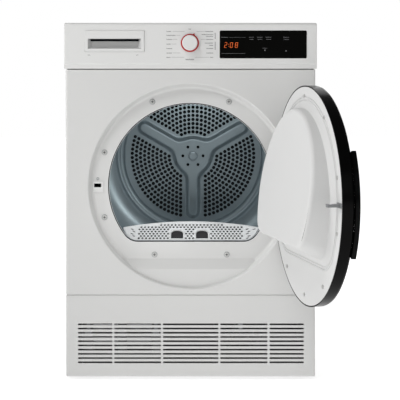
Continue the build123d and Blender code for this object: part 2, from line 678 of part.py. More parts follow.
# ---------------------------------------------------------------- control panel
FASCIA_FRONT = -4.0
with BuildPart() as control_panel:
    with BuildSketch(Plane(origin=(-WIDTH / 2, FRONT, 0), x_dir=(0, 1, 0), z_dir=(1, 0, 0))):
        with BuildLine():
            Polyline(
                (30, FASCIA_BOTTOM), (0, FASCIA_BOTTOM), (-1.5, FASCIA_BOTTOM + 1.5),
                (-1.5, FASCIA_BOTTOM + 9), (FASCIA_FRONT, FASCIA_BOTTOM + 13),
                (FASCIA_FRONT, HEIGHT - 8),
            )
            RadiusArc((FASCIA_FRONT, HEIGHT - 8), (FASCIA_FRONT + 8, HEIGHT), 8)
            Polyline((FASCIA_FRONT + 8, HEIGHT), (30, HEIGHT), (30, FASCIA_BOTTOM))
        make_face()
    extrude(amount=WIDTH)
    fillet(control_panel.edges().filter_by(Axis.Z).group_by(Axis.Y)[0], 3)
    block((-WIDTH / 2 + 3, WIDTH / 2 - 3), (2, 40), (FASCIA_BOTTOM + 3, HEIGHT - 3),
          mode=Mode.SUBTRACT)
    block((TANK_X0 - 0.8, TANK_X1 + 0.8), (-8, 10), (TANK_Z0 - 0.8, TANK_Z1 + 0.8),
          mode=Mode.SUBTRACT)
    rod(KNOB_X, KNOB_Z, 8.0, (-8, 10), mode=Mode.SUBTRACT)
    with BuildSketch(face(10, (WINDOW_X0 + WINDOW_X1) / 2, (WINDOW_Z0 + WINDOW_Z1) / 2)):
        RectangleRounded(WINDOW_X1 - WINDOW_X0 + 0.4, WINDOW_Z1 - WINDOW_Z0 + 0.4, 3.2)
    extrude(amount=20, mode=Mode.SUBTRACT)
save(control_panel, "control_panel")

with BuildPart() as display_window:
    with BuildSketch(face(-0.5, (WINDOW_X0 + WINDOW_X1) / 2, (WINDOW_Z0 + WINDOW_Z1) / 2)):
        RectangleRounded(WINDOW_X1 - WINDOW_X0, WINDOW_Z1 - WINDOW_Z0, 3)
    extrude(amount=4)
    chamfer(display_window.edges().group_by(Axis.Y)[0], 0.4)
save(display_window, "display_window")

with BuildPart() as control_board:
    block((-40, 286), (14, 15.6), (752, 834))
    block((75, 125), (4, 14), (775, 812))
    for x in (150, 172, 194, 226):
        block((x, x + 8), (3, 14), (800, 808))
    block((KNOB_X - 9, KNOB_X + 9), (8, 14), (KNOB_Z - 9, KNOB_Z + 9))
    block((210, 250), (15.6, 29), (760, 800))
    rod(150, 775, 8, (15.6, 28))
    rod(KNOB_X, KNOB_Z, 3.05, (6, 20), mode=Mode.SUBTRACT)
save(control_board, "control_board")

KNOB_R = 21.4
with BuildPart() as program_knob:
    rod(KNOB_X, KNOB_Z, 24.0, (-6.5, -4.4))
    rod(KNOB_X, KNOB_Z, 17.0, (-24, -6.5))
    fillet(program_knob.edges().group_by(Axis.Y)[0], 2.5)
    rod(KNOB_X, KNOB_Z, 7.5, (-4.4, 6.5))
    rod(KNOB_X, KNOB_Z, 3.0, (6.5, 13.5))
save(program_knob, "program_knob")

with BuildPart() as knob_ring:
    ring(KNOB_X, KNOB_Z, KNOB_R, 17.0, (-9, -6.5))
    pointer = face(-6.5, KNOB_X, KNOB_Z)
    with BuildSketch(pointer):
        with Locations(Rotation(0, 0, -25)):
            with Locations((0, 22.4)):
                Triangle(a=3.4, b=3.4, c=3.4, align=Align.CENTER)
    extrude(amount=1.2)
save(knob_ring, "knob_ring")


# ---------------------------------------------------------------- condensate tank drawer
with BuildPart() as tank_channel:
    block((-253, -105), (12, 520), (774.4, 776.2))
    block((-253, -251), (12, 520), (774.4, 824))
    block((-107, -105), (12, 520), (774.4, 824))
    block((-253, -105), (518, 520), (774.4, 824))
    block((-240, -224), (520, 538), (786, 802))
save(tank_channel, "tank_channel")

with BuildPart() as tank_front:
    block((TANK_X0, TANK_X1), (-5.5, 16), (TANK_Z0, TANK_Z1))
    fillet(tank_front.edges().group_by(Axis.Y)[0], 0.8)
    # tapered grip pocket under the slot
    with BuildSketch(face(-5.6, (TANK_X0 + TANK_X1) / 2, 795)):
        Rectangle(126, 24.5)
    with BuildSketch(face(9, (TANK_X0 + TANK_X1) / 2, 797)):
        Rectangle(108, 18)
    loft(mode=Mode.SUBTRACT)
    block((-233, -124), (4, 13), (803, 808), mode=Mode.SUBTRACT)
save(tank_front, "tank_front")

with BuildPart() as water_tank:
    block((-246, -112), (16, 500), (777, 823))
    fillet(water_tank.edges().filter_by(Axis.Y), 6)
    block((-244, -114), (18, 498), (779, 821), mode=Mode.SUBTRACT)
    post(-220, 470, 9, (819, 825))
    post(-220, 470, 7, (819, 826), mode=Mode.SUBTRACT)
    post(-220, 470, 7, (820.5, 822), mode=Mode.SUBTRACT)
save(water_tank, "water_tank")


# ---------------------------------------------------------------- drum
with BuildPart() as drum_shell:
    ring(0, DRUM_Z, DRUM_R, DRUM_R - DRUM_WALL, (DRUM_FRONT, DRUM_REAR))
    ring(0, DRUM_Z, DRUM_R, 270, (DRUM_FRONT, DRUM_FRONT + 1.2))
    ring(0, DRUM_Z, 271.2, 270, (78, DRUM_FRONT + 1.2))
save(drum_shell, "drum_shell")

SPOKE_ANGLES = (30, 150, 270)
with BuildPart() as drum_back:
    with BuildSketch(lathe(0, DRUM_Z)):
        with BuildLine():
            Polyline(
                (0, 446), (188, 446), (193, 452), (201, 452), (205, 447), (211, 447), (215, 452),
            )
            ThreePointArc((215, 452), (261, 446), (281.6, 426))
            Line((281.6, 426), (282.8, 426))
            ThreePointArc((282.8, 426), (261.7, 447.1), (215, 453.2))
            Polyline(
                (215, 453.2), (210, 448.2), (206, 448.2), (201.6, 453.2), (192.6, 453.2),
                (187.6, 447.2), (0, 447.2), (0, 446),
            )
        make_face()
    revolve(axis=lathe_axis(0, DRUM_Z))
    # raised three-arm star that carries the hub
    for grow, low, high, how in ((0, 446.6, 434, Mode.ADD), (-1.5, 447.8, 435.5, Mode.SUBTRACT)):
        with BuildSketch(face(low, 0, DRUM_Z)) as star:
            Circle(48 + grow)
            for angle in SPOKE_ANGLES:
                with Locations(Rotation(0, 0, angle)):
                    with Locations((88, 0)):
                        SlotOverall(176 + 2 * grow, 40 + 2 * grow)
        extrude(star.sketch, amount=low - high, taper=36, mode=how)
    for x, z in HUB_BOLTS:
        rod(x, DRUM_Z + z, 3.2, (430, 450), mode=Mode.SUBTRACT)
    rod(0, DRUM_Z, 10, (430, 450), mode=Mode.SUBTRACT)
save(drum_back, "drum_back")

with BuildPart() as drum_shaft:
    rod(0, DRUM_Z, 13, (431.5, 434))
    rod(0, DRUM_Z, 9.9, (434, 435.5))
    rod(0, DRUM_Z, 36, (435.5, 439))
    rod(0, DRUM_Z, 12, (439, 505))
    for x, z in HUB_BOLTS:
        rod(x, DRUM_Z + z, 3.2, (430, 440), mode=Mode.SUBTRACT)
save(drum_shaft, "drum_shaft")

with BuildPart() as drum_lifters:
    for sz in (-1, 1):
        with BuildSketch(face(414, 0, DRUM_Z)):
            with BuildLine():
                Polyline(
                    (-34, sz * 286), (-16, sz * 234), (16, sz * 234), (34, sz * 286), close=True
                )
            make_face()
        extrude(amount=300)
    fillet(drum_lifters.edges().filter_by(Axis.Y).group_by(SortBy.DISTANCE)[0], 10)
    rod(0, DRUM_Z, DRUM_R - DRUM_WALL, (100, 430), mode=Mode.INTERSECT)
save(drum_lifters, "drum_lifters")

with BuildPart() as rear_bulkhead:
    block((-286, 286), (REAR_BULKHEAD, REAR_BULKHEAD + 2), (196, 772))
    ring(0, DRUM_Z, 24, 15, (REAR_BULKHEAD - 6, REAR_BULKHEAD + 18))
    rod(0, DRUM_Z, 15, (470, 520), mode=Mode.SUBTRACT)
    # kidney windows for the hot air, crossed by four ribs
    with BuildSketch(face(490, 0, DRUM_Z)) as windows:
        Circle(200)
        Circle(70, mode=Mode.SUBTRACT)
        Rectangle(460, 26, mode=Mode.SUBTRACT)
        Rectangle(26, 460, mode=Mode.SUBTRACT)
    extrude(amount=6, mode=Mode.SUBTRACT)
save(rear_bulkhead, "rear_bulkhead")

with BuildPart() as rear_bearing:
    ring(0, DRUM_Z, 15, 12.05, (482, 503))
save(rear_bearing, "rear_bearing")

with BuildPart() as heating_element:
    for radius in (120, 150, 180):
        ring(0, DRUM_Z, radius + 3, radius - 3, (516, 522))
    for x in (-140, 140):
        block((x - 60, x + 60), (517, 521), (DRUM_Z - 2, DRUM_Z + 2))
        block((x * 1.65 - 8, x * 1.65 + 8), (488, 524), (DRUM_Z - 12, DRUM_Z + 12))
    block((80, 232), (517, 521), (DRUM_Z - 2, DRUM_Z + 2))
    block((-232, -80), (517, 521), (DRUM_Z - 2, DRUM_Z + 2))
save(heating_element, "heating_element")


# ---------------------------------------------------------------- rollers, belt and motor
with BuildPart() as roller_axles:
    for sx in (-1, 1):
        rod(sx * ROLLER_X, ROLLER_Z, 5.95, (BULKHEAD_FRONT, 128))
        rod(sx * ROLLER_X, ROLLER_Z, 10, (126, 129))
save(roller_axles, "roller_axles")

for sx, name in ((-1, "support_roller_left"), (1, "support_roller_right")):
    with BuildPart() as roller:
        rod(sx * ROLLER_X, ROLLER_Z, ROLLER_R, (104, 124))
        chamfer(roller.edges(), 1)
        rod(sx * ROLLER_X, ROLLER_Z, 6.0, (100, 130), mode=Mode.SUBTRACT)
        for depth in (103, 119):
            with Locations(face(depth + 6, sx * ROLLER_X, ROLLER_Z)):
                with PolarLocations(20, 6):
                    Cylinder(5, 6, mode=Mode.SUBTRACT,
                             align=(Align.CENTER, Align.CENTER, Align.MIN))
    save(roller, name)

PULLEY_D = (132.0, 144.0)
BELT_D = (133.5, 142.5)
belt_gap = 0.3


def belt_outline(grow):
    """Open belt round the drum and the motor pulley."""
    big = DRUM_R + belt_gap + grow
    small = PULLEY_R + belt_gap + grow
    dx, dz = MOTOR_X, MOTOR_Z - DRUM_Z
    reach = hypot(dx, dz)
    lean = atan2(dz, dx)
    turn = degrees(lean)
    spread = degrees(atan2(sqrt(reach**2 - (big - small) ** 2), big - small))
    left, right = turn - spread, turn + spread
    a, b = on_circle(big, left), on_circle(big, right)
    c, d = on_circle(small, left), on_circle(small, right)
    tip = on_circle(small, turn)
    crown = on_circle(big, turn + 180)
    with BuildSketch() as outline:
        with BuildLine():
            ThreePointArc(a, crown, b)
            Line(b, (d[0] + dx, d[1] + dz))
            ThreePointArc(
                (d[0] + dx, d[1] + dz), (tip[0] + dx, tip[1] + dz), (c[0] + dx, c[1] + dz)
            )
            Line((c[0] + dx, c[1] + dz), a)
        make_face()
    return outline.sketch


with BuildPart() as drive_belt:
    with BuildSketch(face(BELT_D[1], 0, DRUM_Z)):
        add(belt_outline(BELT_THICK))
        add(belt_outline(0), mode=Mode.SUBTRACT)
    extrude(amount=BELT_D[1] - BELT_D[0])
save(drive_belt, "drive_belt")

with BuildPart() as motor:
    rod(MOTOR_X, MOTOR_Z, 55, (172, 328))
    fillet(motor.edges(), 6)
    block((MOTOR_X - 30, MOTOR_X + 30), (200, 290), (MOTOR_Z + 45, MOTOR_Z + 66))
    rod(MOTOR_X, MOTOR_Z, 18, (162, 340))
    rod(MOTOR_X, MOTOR_Z, 7.05, (150, 350), mode=Mode.SUBTRACT)
    with Locations(face(174, MOTOR_X, MOTOR_Z)):
        with PolarLocations(38, 8):
            Cylinder(6, 12, mode=Mode.SUBTRACT, align=(Align.CENTER, Align.CENTER, Align.CENTER))
save(motor, "motor")

with BuildPart() as motor_shaft:
    rod(MOTOR_X, MOTOR_Z, 7.0, (60, 474))
    rod(MOTOR_X, MOTOR_Z, PULLEY_R, PULLEY_D)
    for flange in (PULLEY_D[0] - 2, PULLEY_D[1]):
        rod(MOTOR_X, MOTOR_Z, 15, (flange, flange + 2))
save(motor_shaft, "motor_shaft")


def radial_fan(radius, hub, depth, blades):
    """Back plate, hub and straight blades, all one solid, on the motor shaft."""
    with BuildPart() as fan:
        rod(MOTOR_X, MOTOR_Z, radius, (depth[1] - 2, depth[1]))
        rod(MOTOR_X, MOTOR_Z, hub, depth)
        middle = (hub + radius) / 2 - 1
        with Locations(face((depth[0] + depth[1]) / 2, MOTOR_X, MOTOR_Z)):
            with PolarLocations(middle, blades):
                Box(radius - hub, 2, depth[1] - depth[0])
        rod(MOTOR_X, MOTOR_Z, 7.0, (depth[0] - 1, depth[1] + 1), mode=Mode.SUBTRACT)
    return fan


save(radial_fan(72, 16, (436, 472), 16), "process_fan")
save(radial_fan(62, 14, (66, 104), 12), "cooling_fan")


# ---------------------------------------------------------------- condenser, pump and hose
COND_Z0, COND_Z1 = 36.0, 176.0
LOCK_X = (-246.0, -84.0)
LOCK_Z = 106.0
with BuildPart() as condenser_frame:
    block((-256, -74), (44, 54), (COND_Z0, COND_Z1))
    block((-256, -74), (400, 406), (COND_Z0, COND_Z1))
    for z in (COND_Z0, COND_Z1 - 6):
        block((-256, -74), (54, 400), (z, z + 6))
    # cooling air mouth and handle on the front plate
    block((-236, -94), (40, 60), (54, 158), mode=Mode.SUBTRACT)
    block((-175, -155), (46, 54), (50, 162))
    block((-250, -80), (396, 410), (54, 158), mode=Mode.SUBTRACT)
    for x in LOCK_X:
        rod(x, LOCK_Z, 4.0, (40, 56), mode=Mode.SUBTRACT)
save(condenser_frame, "condenser_frame")

with BuildPart() as condenser_core:
    block((-250, -80), (58, 398), (COND_Z0 + 6, COND_Z1 - 6))
    for k in range(15):
        z = COND_Z0 + 12 + 8 * k
        block((-242, -88), (50, 410), (z, z + 6), mode=Mode.SUBTRACT)
save(condenser_core, "condenser_core")

for x, name in zip(LOCK_X, ("condenser_lock_left", "condenser_lock_right")):
    with BuildPart() as lock:
        rod(x, LOCK_Z, 8, (36, 43.6))
        block((x - 4, x + 4), (36, 41), (LOCK_Z, LOCK_Z + 28))
        fillet(lock.edges().filter_by(Axis.Y).group_by(Axis.Z)[-1], 3.5)
        rod(x, LOCK_Z, 3.9, (43.6, 52))
    save(lock, name)

with BuildPart() as condensate_pump:
    block((-232, -168), (470, 526), (20, 44))
    rod(-200, 66, 22, (474, 522))
    block((-214, -186), (480, 516), (40, 60))
    post(-258, 500, 6, (46, 60))
    block((-258, -216), (496, 504), (47, 55))
save(condensate_pump, "condensate_pump")

HOSE_R = 6.0
HOSE_ROUTE = [
    (-258, 500 + FRONT, 60),
    (-258, 500 + FRONT, 128),
    (-262, 510 + FRONT, 188),
    (-269, 519 + FRONT, 250),
    (-271, 522 + FRONT, 330),
    (-270, 523 + FRONT, 420),
    (-271, 523 + FRONT, 510),
    (-270, 524 + FRONT, 590),
    (-266, 526 + FRONT, 650),
    (-252, 528 + FRONT, 700),
    (-233, 529 + FRONT, 742),
    (-232, 529 + FRONT, 785.5),
]


def hose_radii(route):
    """Largest tangent arcs that the route's runs allow."""
    radii = []
    for before, here, after in zip(route, route[1:], route[2:]):
        run_in = Vector(here) - Vector(before)
        run_out = Vector(after) - Vector(here)
        turn = radians(run_in.get_angle(run_out))
        shorter = min(run_in.length, run_out.length)
        radii.append(0.45 * shorter * cos(turn / 2) / sin(turn / 2))
    return radii


radii = hose_radii(HOSE_ROUTE)
print("hose radii", [round(r, 1) for r in radii])
with BuildPart() as pump_hose:
    with BuildLine() as route:
        FilletPolyline(*HOSE_ROUTE, radius=radii)
    path = route.wire()
    with BuildSketch(Plane(origin=path @ 0, z_dir=path % 0)):
        Circle(HOSE_R)
    sweep(path=path)
hose_fill = pump_hose.part.volume / (path.length * pi * HOSE_R**2)
print("hose length", round(path.length), "volume over section times length", round(hose_fill, 4))
save(pump_hose, "pump_hose")

with BuildPart() as mains_gland:
    rod(-240, 700, 13, (560, 568))
    rod(-240, 700, 8.8, (550, 560))
    rod(-240, 700, 12, (550, 554))
    rod(-240, 700, 4.5, (540, 580), mode=Mode.SUBTRACT)
save(mains_gland, "mains_gland")


# ---------------------------------------------------------------- service flap with its grille
GRILLE_ROWS = 10
GRILLE_PITCH = 10.0
GRILLE_TOP = 132.0
SLOT_HIGH = 4.2
GRILLE_SEGMENTS = ((-266, -185), (-180.5, -70), (-65, 66), (70.5, 182), (187, 268))
FLAP_PIN = (12.0, 16.0)      # depth and height of the hinge axis

with BuildPart() as service_flap:
    block((-BODY_WIDTH / 2, BODY_WIDTH / 2), (0, 14), (FOOT_GAP, PLINTH_TOP))
    fillet(service_flap.edges().filter_by(Axis.Z).group_by(Axis.Y)[0], 5)
    fillet(service_flap.faces().sort_by(Axis.Y)[0].edges().filter_by(Axis.X), 2)
    block(
        (-BODY_WIDTH / 2 + 2.5, BODY_WIDTH / 2 - 2.5), (2.5, 20),
        (FOOT_GAP + 2.5, PLINTH_TOP - 2.5), mode=Mode.SUBTRACT,
    )
    block((-BODY_WIDTH / 2, BODY_WIDTH / 2), (5, 20), (0, 14), mode=Mode.SUBTRACT)
    for row in range(GRILLE_ROWS):
        z = GRILLE_TOP - GRILLE_PITCH * row
        for x0, x1 in GRILLE_SEGMENTS:
            with BuildSketch(face(4, (x0 + x1) / 2, z)):
                RectangleRounded(x1 - x0, SLOT_HIGH, 1.2)
            extrude(amount=6, mode=Mode.SUBTRACT)
    # hinge ears and pins, inboard of the base's sockets
    for sx in (-1, 1):
        ear_x = sorted((sx * 272, sx * 277))
        block(ear_x, (2.4, 15), (FOOT_GAP + 2, 30))
        with Locations(Plane(origin=(sx * 272, FRONT + FLAP_PIN[0], FLAP_PIN[1]), z_dir=(sx, 0, 0))):
            Cylinder(2.5, 13, align=(Align.CENTER, Align.CENTER, Align.MIN))
save(service_flap, "service_flap")
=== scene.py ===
"""Looks of the condenser tumble dryer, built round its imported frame.

Lengths are metres in the row frame: +Z up, the front looks along -Y, the origin is on the floor.
Places and sizes come from the frame's own nodes. mm() turns millimetres into metres.
"""

from math import atan2, cos, hypot, pi, radians, sin, sqrt

import bmesh
import bpy
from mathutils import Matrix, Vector
from mathutils.geometry import delaunay_2d_cdt


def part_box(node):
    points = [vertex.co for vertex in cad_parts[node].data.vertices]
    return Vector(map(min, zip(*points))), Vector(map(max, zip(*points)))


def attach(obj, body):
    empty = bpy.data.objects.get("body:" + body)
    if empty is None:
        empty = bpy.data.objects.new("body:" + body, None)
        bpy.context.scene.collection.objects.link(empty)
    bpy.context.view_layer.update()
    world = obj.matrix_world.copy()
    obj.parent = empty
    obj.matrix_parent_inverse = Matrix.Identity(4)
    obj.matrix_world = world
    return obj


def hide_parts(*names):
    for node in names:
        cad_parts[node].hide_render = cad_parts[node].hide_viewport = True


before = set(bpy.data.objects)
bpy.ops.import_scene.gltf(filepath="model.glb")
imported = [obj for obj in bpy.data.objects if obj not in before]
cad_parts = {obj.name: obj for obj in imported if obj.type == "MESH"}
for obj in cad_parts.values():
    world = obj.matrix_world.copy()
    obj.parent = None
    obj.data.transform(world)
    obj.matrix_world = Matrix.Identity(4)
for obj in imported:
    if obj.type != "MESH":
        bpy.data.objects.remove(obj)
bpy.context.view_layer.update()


def mm(*values):
    """Millimetres to metres: one number, or a tuple."""
    metres = tuple(v / 1000 for v in values)
    return metres if len(metres) > 1 else metres[0]


def mm_pairs(*pairs):
    """Pairs in millimetres to pairs in metres."""
    return [(a / 1000, b / 1000) for a, b in pairs]


# ---------------------------------------------------------------- materials
def surface(
    name, colour, vary=0.02, patch=6.0, rough=0.4, rough_vary=0.06, grain=500.0, bump=0.03,
    stretch=(1, 1, 1), metallic=0.0, coat=0.0, coat_rough=0.1, specular=0.5,
):
    """Procedural finish: patchy tint, grain in the bump, and a gloss that changes a little.

    patch and grain are counts per metre; stretch pulls the grain out into a brushed direction.
    """
    material = bpy.data.materials.new(name)
    material.use_nodes = True
    nodes, links = material.node_tree.nodes, material.node_tree.links
    shader = nodes["Principled BSDF"]
    shader.inputs["Metallic"].default_value = metallic
    shader.inputs["Coat Weight"].default_value = coat
    shader.inputs["Coat Roughness"].default_value = coat_rough
    shader.inputs["Specular IOR Level"].default_value = specular

    place = nodes.new("ShaderNodeTexCoord")
    pull = nodes.new("ShaderNodeMapping")
    pull.inputs["Scale"].default_value = stretch
    links.new(place.outputs["Object"], pull.inputs["Vector"])

    def noise(scale, detail, source):
        node = nodes.new("ShaderNodeTexNoise")
        node.inputs["Scale"].default_value = scale
        node.inputs["Detail"].default_value = detail
        links.new(source, node.inputs["Vector"])
        return node.outputs["Fac"]

    patches = noise(patch, 4.0, place.outputs["Object"])
    grains = noise(grain, 3.0, pull.outputs["Vector"])

    tint = nodes.new("ShaderNodeMix")
    tint.data_type = "RGBA"
    tint.inputs[6].default_value = tuple(c * (1 - vary) for c in colour) + (1,)
    tint.inputs[7].default_value = tuple(min(1.0, c * (1 + vary)) for c in colour) + (1,)
    both = nodes.new("ShaderNodeMath")
    both.operation = "MULTIPLY_ADD"
    both.inputs[1].default_value = 0.35
    links.new(grains, both.inputs[0])
    shift = nodes.new("ShaderNodeMath")
    shift.operation = "MULTIPLY"
    shift.inputs[1].default_value = 0.65
    links.new(patches, shift.inputs[0])
    links.new(shift.outputs[0], both.inputs[2])
    links.new(both.outputs[0], tint.inputs[0])
    links.new(tint.outputs[2], shader.inputs["Base Color"])

    gloss = nodes.new("ShaderNodeMapRange")
    gloss.inputs["To Min"].default_value = max(0.02, rough - rough_vary)
    gloss.inputs["To Max"].default_value = rough + rough_vary
    links.new(both.outputs[0], gloss.inputs["Value"])
    links.new(gloss.outputs["Result"], shader.inputs["Roughness"])

    relief = nodes.new("ShaderNodeBump")
    relief.inputs["Strength"].default_value = bump
    relief.inputs["Distance"].default_value = 0.001
    links.new(grains, relief.inputs["Height"])
    links.new(relief.outputs["Normal"], shader.inputs["Normal"])
    return material


def glow(name, colour, strength):
    """Lit display segments: a plastic that also shines, a little uneven."""
    material = surface(name, colour, vary=0.1, patch=400.0, rough=0.4, bump=0.0)
    shader = material.node_tree.nodes["Principled BSDF"]
    shader.inputs["Emission Color"].default_value = colour + (1,)
    shader.inputs["Emission Strength"].default_value = strength
    return material


ENAMEL = surface("white_enamel", (0.64, 0.64, 0.63), vary=0.008, patch=3.0, rough=0.34,
                 rough_vary=0.04, grain=900.0, bump=0.035, coat=0.2, coat_rough=0.15)
FASCIA = surface("white_fascia", (0.69, 0.69, 0.68), vary=0.008, patch=4.0, rough=0.38,
                 rough_vary=0.04, grain=2200.0, bump=0.05)
LINER = surface("white_liner", (0.72, 0.72, 0.715), vary=0.01, patch=5.0, rough=0.42,
                rough_vary=0.05, grain=1600.0, bump=0.05)
DOOR_LINER = surface("door_liner", (0.60, 0.60, 0.595), vary=0.01, patch=5.0, rough=0.62,
                     rough_vary=0.05, grain=1600.0, bump=0.05, specular=0.25)
# painted shade: mid grey for the shade in the drawer's grip pocket and in the groove round the
# door's plug
SHADE_GREY = surface("painted_shade_grey", (0.54, 0.54, 0.535), vary=0.02, patch=20.0, rough=0.5,
               rough_vary=0.05, grain=1800.0, bump=0.05)
BLACK_GLOSS = surface("black_gloss", (0.0012, 0.0012, 0.0012), vary=0.2, patch=8.0, rough=0.18,
                      rough_vary=0.06, grain=700.0, bump=0.01, specular=0.06)
DOOR_GLASS = surface("black_door_glass", (0.002, 0.002, 0.002), vary=0.2, patch=8.0, rough=0.09,
                     rough_vary=0.04, grain=300.0, bump=0.004, specular=0.45, coat=0.2,
                     coat_rough=0.04)
DISPLAY = surface("smoked_display", (0.0016, 0.0016, 0.0013), vary=0.15, patch=12.0, rough=0.14,
                  rough_vary=0.05, grain=600.0, bump=0.006, specular=0.09)
STAINLESS = surface("brushed_stainless", (0.56, 0.60, 0.635), vary=0.04, patch=7.0, rough=0.40,
                    rough_vary=0.09, grain=260.0, bump=0.04, stretch=(1, 1, 14), metallic=0.45)
DRUM_STEEL = surface("stamped_drum_steel", (0.192, 0.238, 0.255), vary=0.05, patch=9.0, rough=0.32,
                     rough_vary=0.05, grain=700.0, bump=0.02, metallic=0.5)
DRUM_WALL = surface("drum_wall_steel", (0.93, 0.95, 0.99), vary=0.03, patch=7.0, rough=0.52,
                    rough_vary=0.06, grain=260.0, bump=0.03, stretch=(1, 1, 14), metallic=0.2)
STEEL = surface("turned_steel", (0.42, 0.43, 0.45), vary=0.06, patch=20.0, rough=0.32,
                rough_vary=0.08, grain=900.0, bump=0.04, stretch=(1, 12, 1), metallic=0.95)
SCREW = surface("zinc_screw", (0.50, 0.50, 0.49), vary=0.08, patch=200.0, rough=0.35,
                rough_vary=0.08, grain=3000.0, bump=0.08, metallic=0.4)
ZINC = surface("galvanised_sheet", (0.52, 0.54, 0.56), vary=0.07, patch=60.0, rough=0.45,
               rough_vary=0.10, grain=140.0, bump=0.03, metallic=0.7)
GREY_PLASTIC = surface("grey_plastic", (0.50, 0.52, 0.54), vary=0.02, patch=14.0, rough=0.45,
                       rough_vary=0.05, grain=1800.0, bump=0.07)
HOOK_PLASTIC = surface("dark_grey_plastic", (0.20, 0.205, 0.21), vary=0.03, patch=30.0, rough=0.5,
                       rough_vary=0.05, grain=1800.0, bump=0.07)
PALE_PLASTIC = surface("pale_grey_plastic", (0.76, 0.775, 0.78), vary=0.02, patch=14.0, rough=0.42,
                       rough_vary=0.05, grain=1800.0, bump=0.06)
DARK_PLASTIC = surface("dark_moulded_plastic", (0.028, 0.028, 0.030), vary=0.15, patch=16.0,
                       rough=0.55, rough_vary=0.08, grain=1500.0, bump=0.14)
BASE_PLASTIC = surface("base_moulding", (0.20, 0.20, 0.205), vary=0.08, patch=10.0, rough=0.55,
                       rough_vary=0.08, grain=1200.0, bump=0.12)
RED_PLASTIC = surface("red_ring", (0.42, 0.014, 0.014), vary=0.06, patch=60.0, rough=0.30,
                      rough_vary=0.05, grain=2500.0, bump=0.03, coat=0.3)
RUBBER = surface("black_rubber", (0.022, 0.022, 0.022), vary=0.2, patch=40.0, rough=0.72,
                 rough_vary=0.08, grain=2000.0, bump=0.18, specular=0.3)
GREY_RUBBER = surface("grey_seal_rubber", (0.30, 0.32, 0.33), vary=0.06, patch=30.0, rough=0.60,
                      rough_vary=0.06, grain=2200.0, bump=0.12, specular=0.3)
FELT = surface("wool_felt", (0.44, 0.42, 0.38), vary=0.15, patch=120.0, rough=0.95,
               rough_vary=0.04, grain=900.0, bump=0.6, specular=0.1)
MESH_CLOTH = surface("filter_mesh", (0.60, 0.61, 0.60), vary=0.12, patch=500.0, rough=0.8,
                     rough_vary=0.08, grain=4000.0, bump=0.5, specular=0.2)
BRONZE = surface("sintered_bronze", (0.40, 0.25, 0.11), vary=0.12, patch=300.0, rough=0.45,
                 rough_vary=0.1, grain=3000.0, bump=0.2, metallic=0.9)
ALUMINIUM = surface("mill_aluminium", (0.66, 0.67, 0.69), vary=0.06, patch=40.0, rough=0.38,
                    rough_vary=0.1, grain=500.0, bump=0.06, stretch=(1, 8, 1), metallic=0.9)
MOTOR_CAST = surface("cast_motor_body", (0.30, 0.31, 0.32), vary=0.10, patch=50.0, rough=0.55,
                     rough_vary=0.1, grain=1400.0, bump=0.25, metallic=0.6)
BOARD_GREEN = surface("circuit_laminate", (0.02, 0.14, 0.05), vary=0.2, patch=120.0, rough=0.4,
                      rough_vary=0.08, grain=2600.0, bump=0.1)
SCALE_INK = surface("scale_print", (0.07, 0.07, 0.073), vary=0.08, patch=300.0, rough=0.6,
                    rough_vary=0.05, grain=3000.0, bump=0.02)
PALE_INK = surface("pale_display_print", (0.15, 0.15, 0.155), vary=0.08, patch=300.0, rough=0.6,
                   rough_vary=0.05, grain=3000.0, bump=0.02)
DIGITS = glow("lit_digits", (0.80, 0.14, 0.02), 0.52)
# painted shade: near-black for sheets put in holes, gaps and slots where only shade falls
PAINTED_SHADE_BLACK = surface("painted_shade_black", (0.004, 0.005, 0.006), vary=0.2, patch=30.0, rough=0.8,
                    rough_vary=0.05, grain=800.0, bump=0.1, specular=0.03)
# painted shade: dark grey for the sheet under the filter's sieve
SIEVE_SHADE = surface("painted_shade_under_sieve", (0.045, 0.045, 0.047), vary=0.15, patch=60.0, rough=0.8,
                     rough_vary=0.05, grain=2500.0, bump=0.3, specular=0.1)

NODE_FINISH = {
    "left_side_panel right_side_panel front_panel top_cover service_flap": ENAMEL,
    "control_panel tank_front program_knob": FASCIA,
    "door_inner_panel": DOOR_LINER,
    "latch_plate": LINER,
    "door_ring door_handle": BLACK_GLOSS,
    "door_outer_panel": DOOR_GLASS,
    "display_window": DISPLAY,
    "knob_ring": RED_PLASTIC,
    "tank_channel water_tank condenser_lock_left condenser_lock_right": GREY_PLASTIC,
    "door_hook": HOOK_PLASTIC,
    "filter_cover drum_lifters": PALE_PLASTIC,
    "condensate_pump process_fan cooling_fan filter_frame mains_gland latch_catch": DARK_PLASTIC,
    "base_tray condenser_frame": BASE_PLASTIC,
    "support_roller_left support_roller_right": DARK_PLASTIC,
    "rear_panel rear_duct_cover rear_bulkhead": ZINC,
    "front_bulkhead": LINER,
    "drum_shell": DRUM_WALL,
    "moisture_sensor_strips hinge_bracket hinge_plate": STAINLESS,
    "drum_back": DRUM_STEEL,
    "casing_screws door_screws": SCREW,
    "drum_shaft roller_axles motor_shaft heating_element": STEEL,
    "drive_belt pump_hose foot_front_left foot_front_right foot_rear_left foot_rear_right": RUBBER,
    "opening_seal": GREY_RUBBER,
    "drum_felt_seals": FELT,
    "filter_screens": MESH_CLOTH,
    "rear_bearing": BRONZE,
    "condenser_core": ALUMINIUM,
    "motor": MOTOR_CAST,
    "control_board": BOARD_GREEN,
}


def paint(piece, material):
    """Give every face of a piece this one material."""
    piece.data.materials.clear()
    piece.data.materials.append(material)


for names, finish in NODE_FINISH.items():
    for node_name in names.split():
        paint(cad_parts[node_name], finish)


# ---------------------------------------------------------------- mesh helpers
def add_piece(name, verts, faces, body, material, smooth=None):
    """New mesh piece that rides on a CAD body. smooth is the sharpest angle shaded round."""
    mesh = bpy.data.meshes.new(name)
    mesh.from_pydata([tuple(v) for v in verts], [], faces)
    mesh.validate()
    if smooth is not None:
        mesh.shade_smooth()
        mesh.set_sharp_from_angle(angle=radians(smooth))
    piece = bpy.data.objects.new(name, mesh)
    bpy.context.scene.collection.objects.link(piece)
    paint(piece, material)
    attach(piece, body)
    return piece


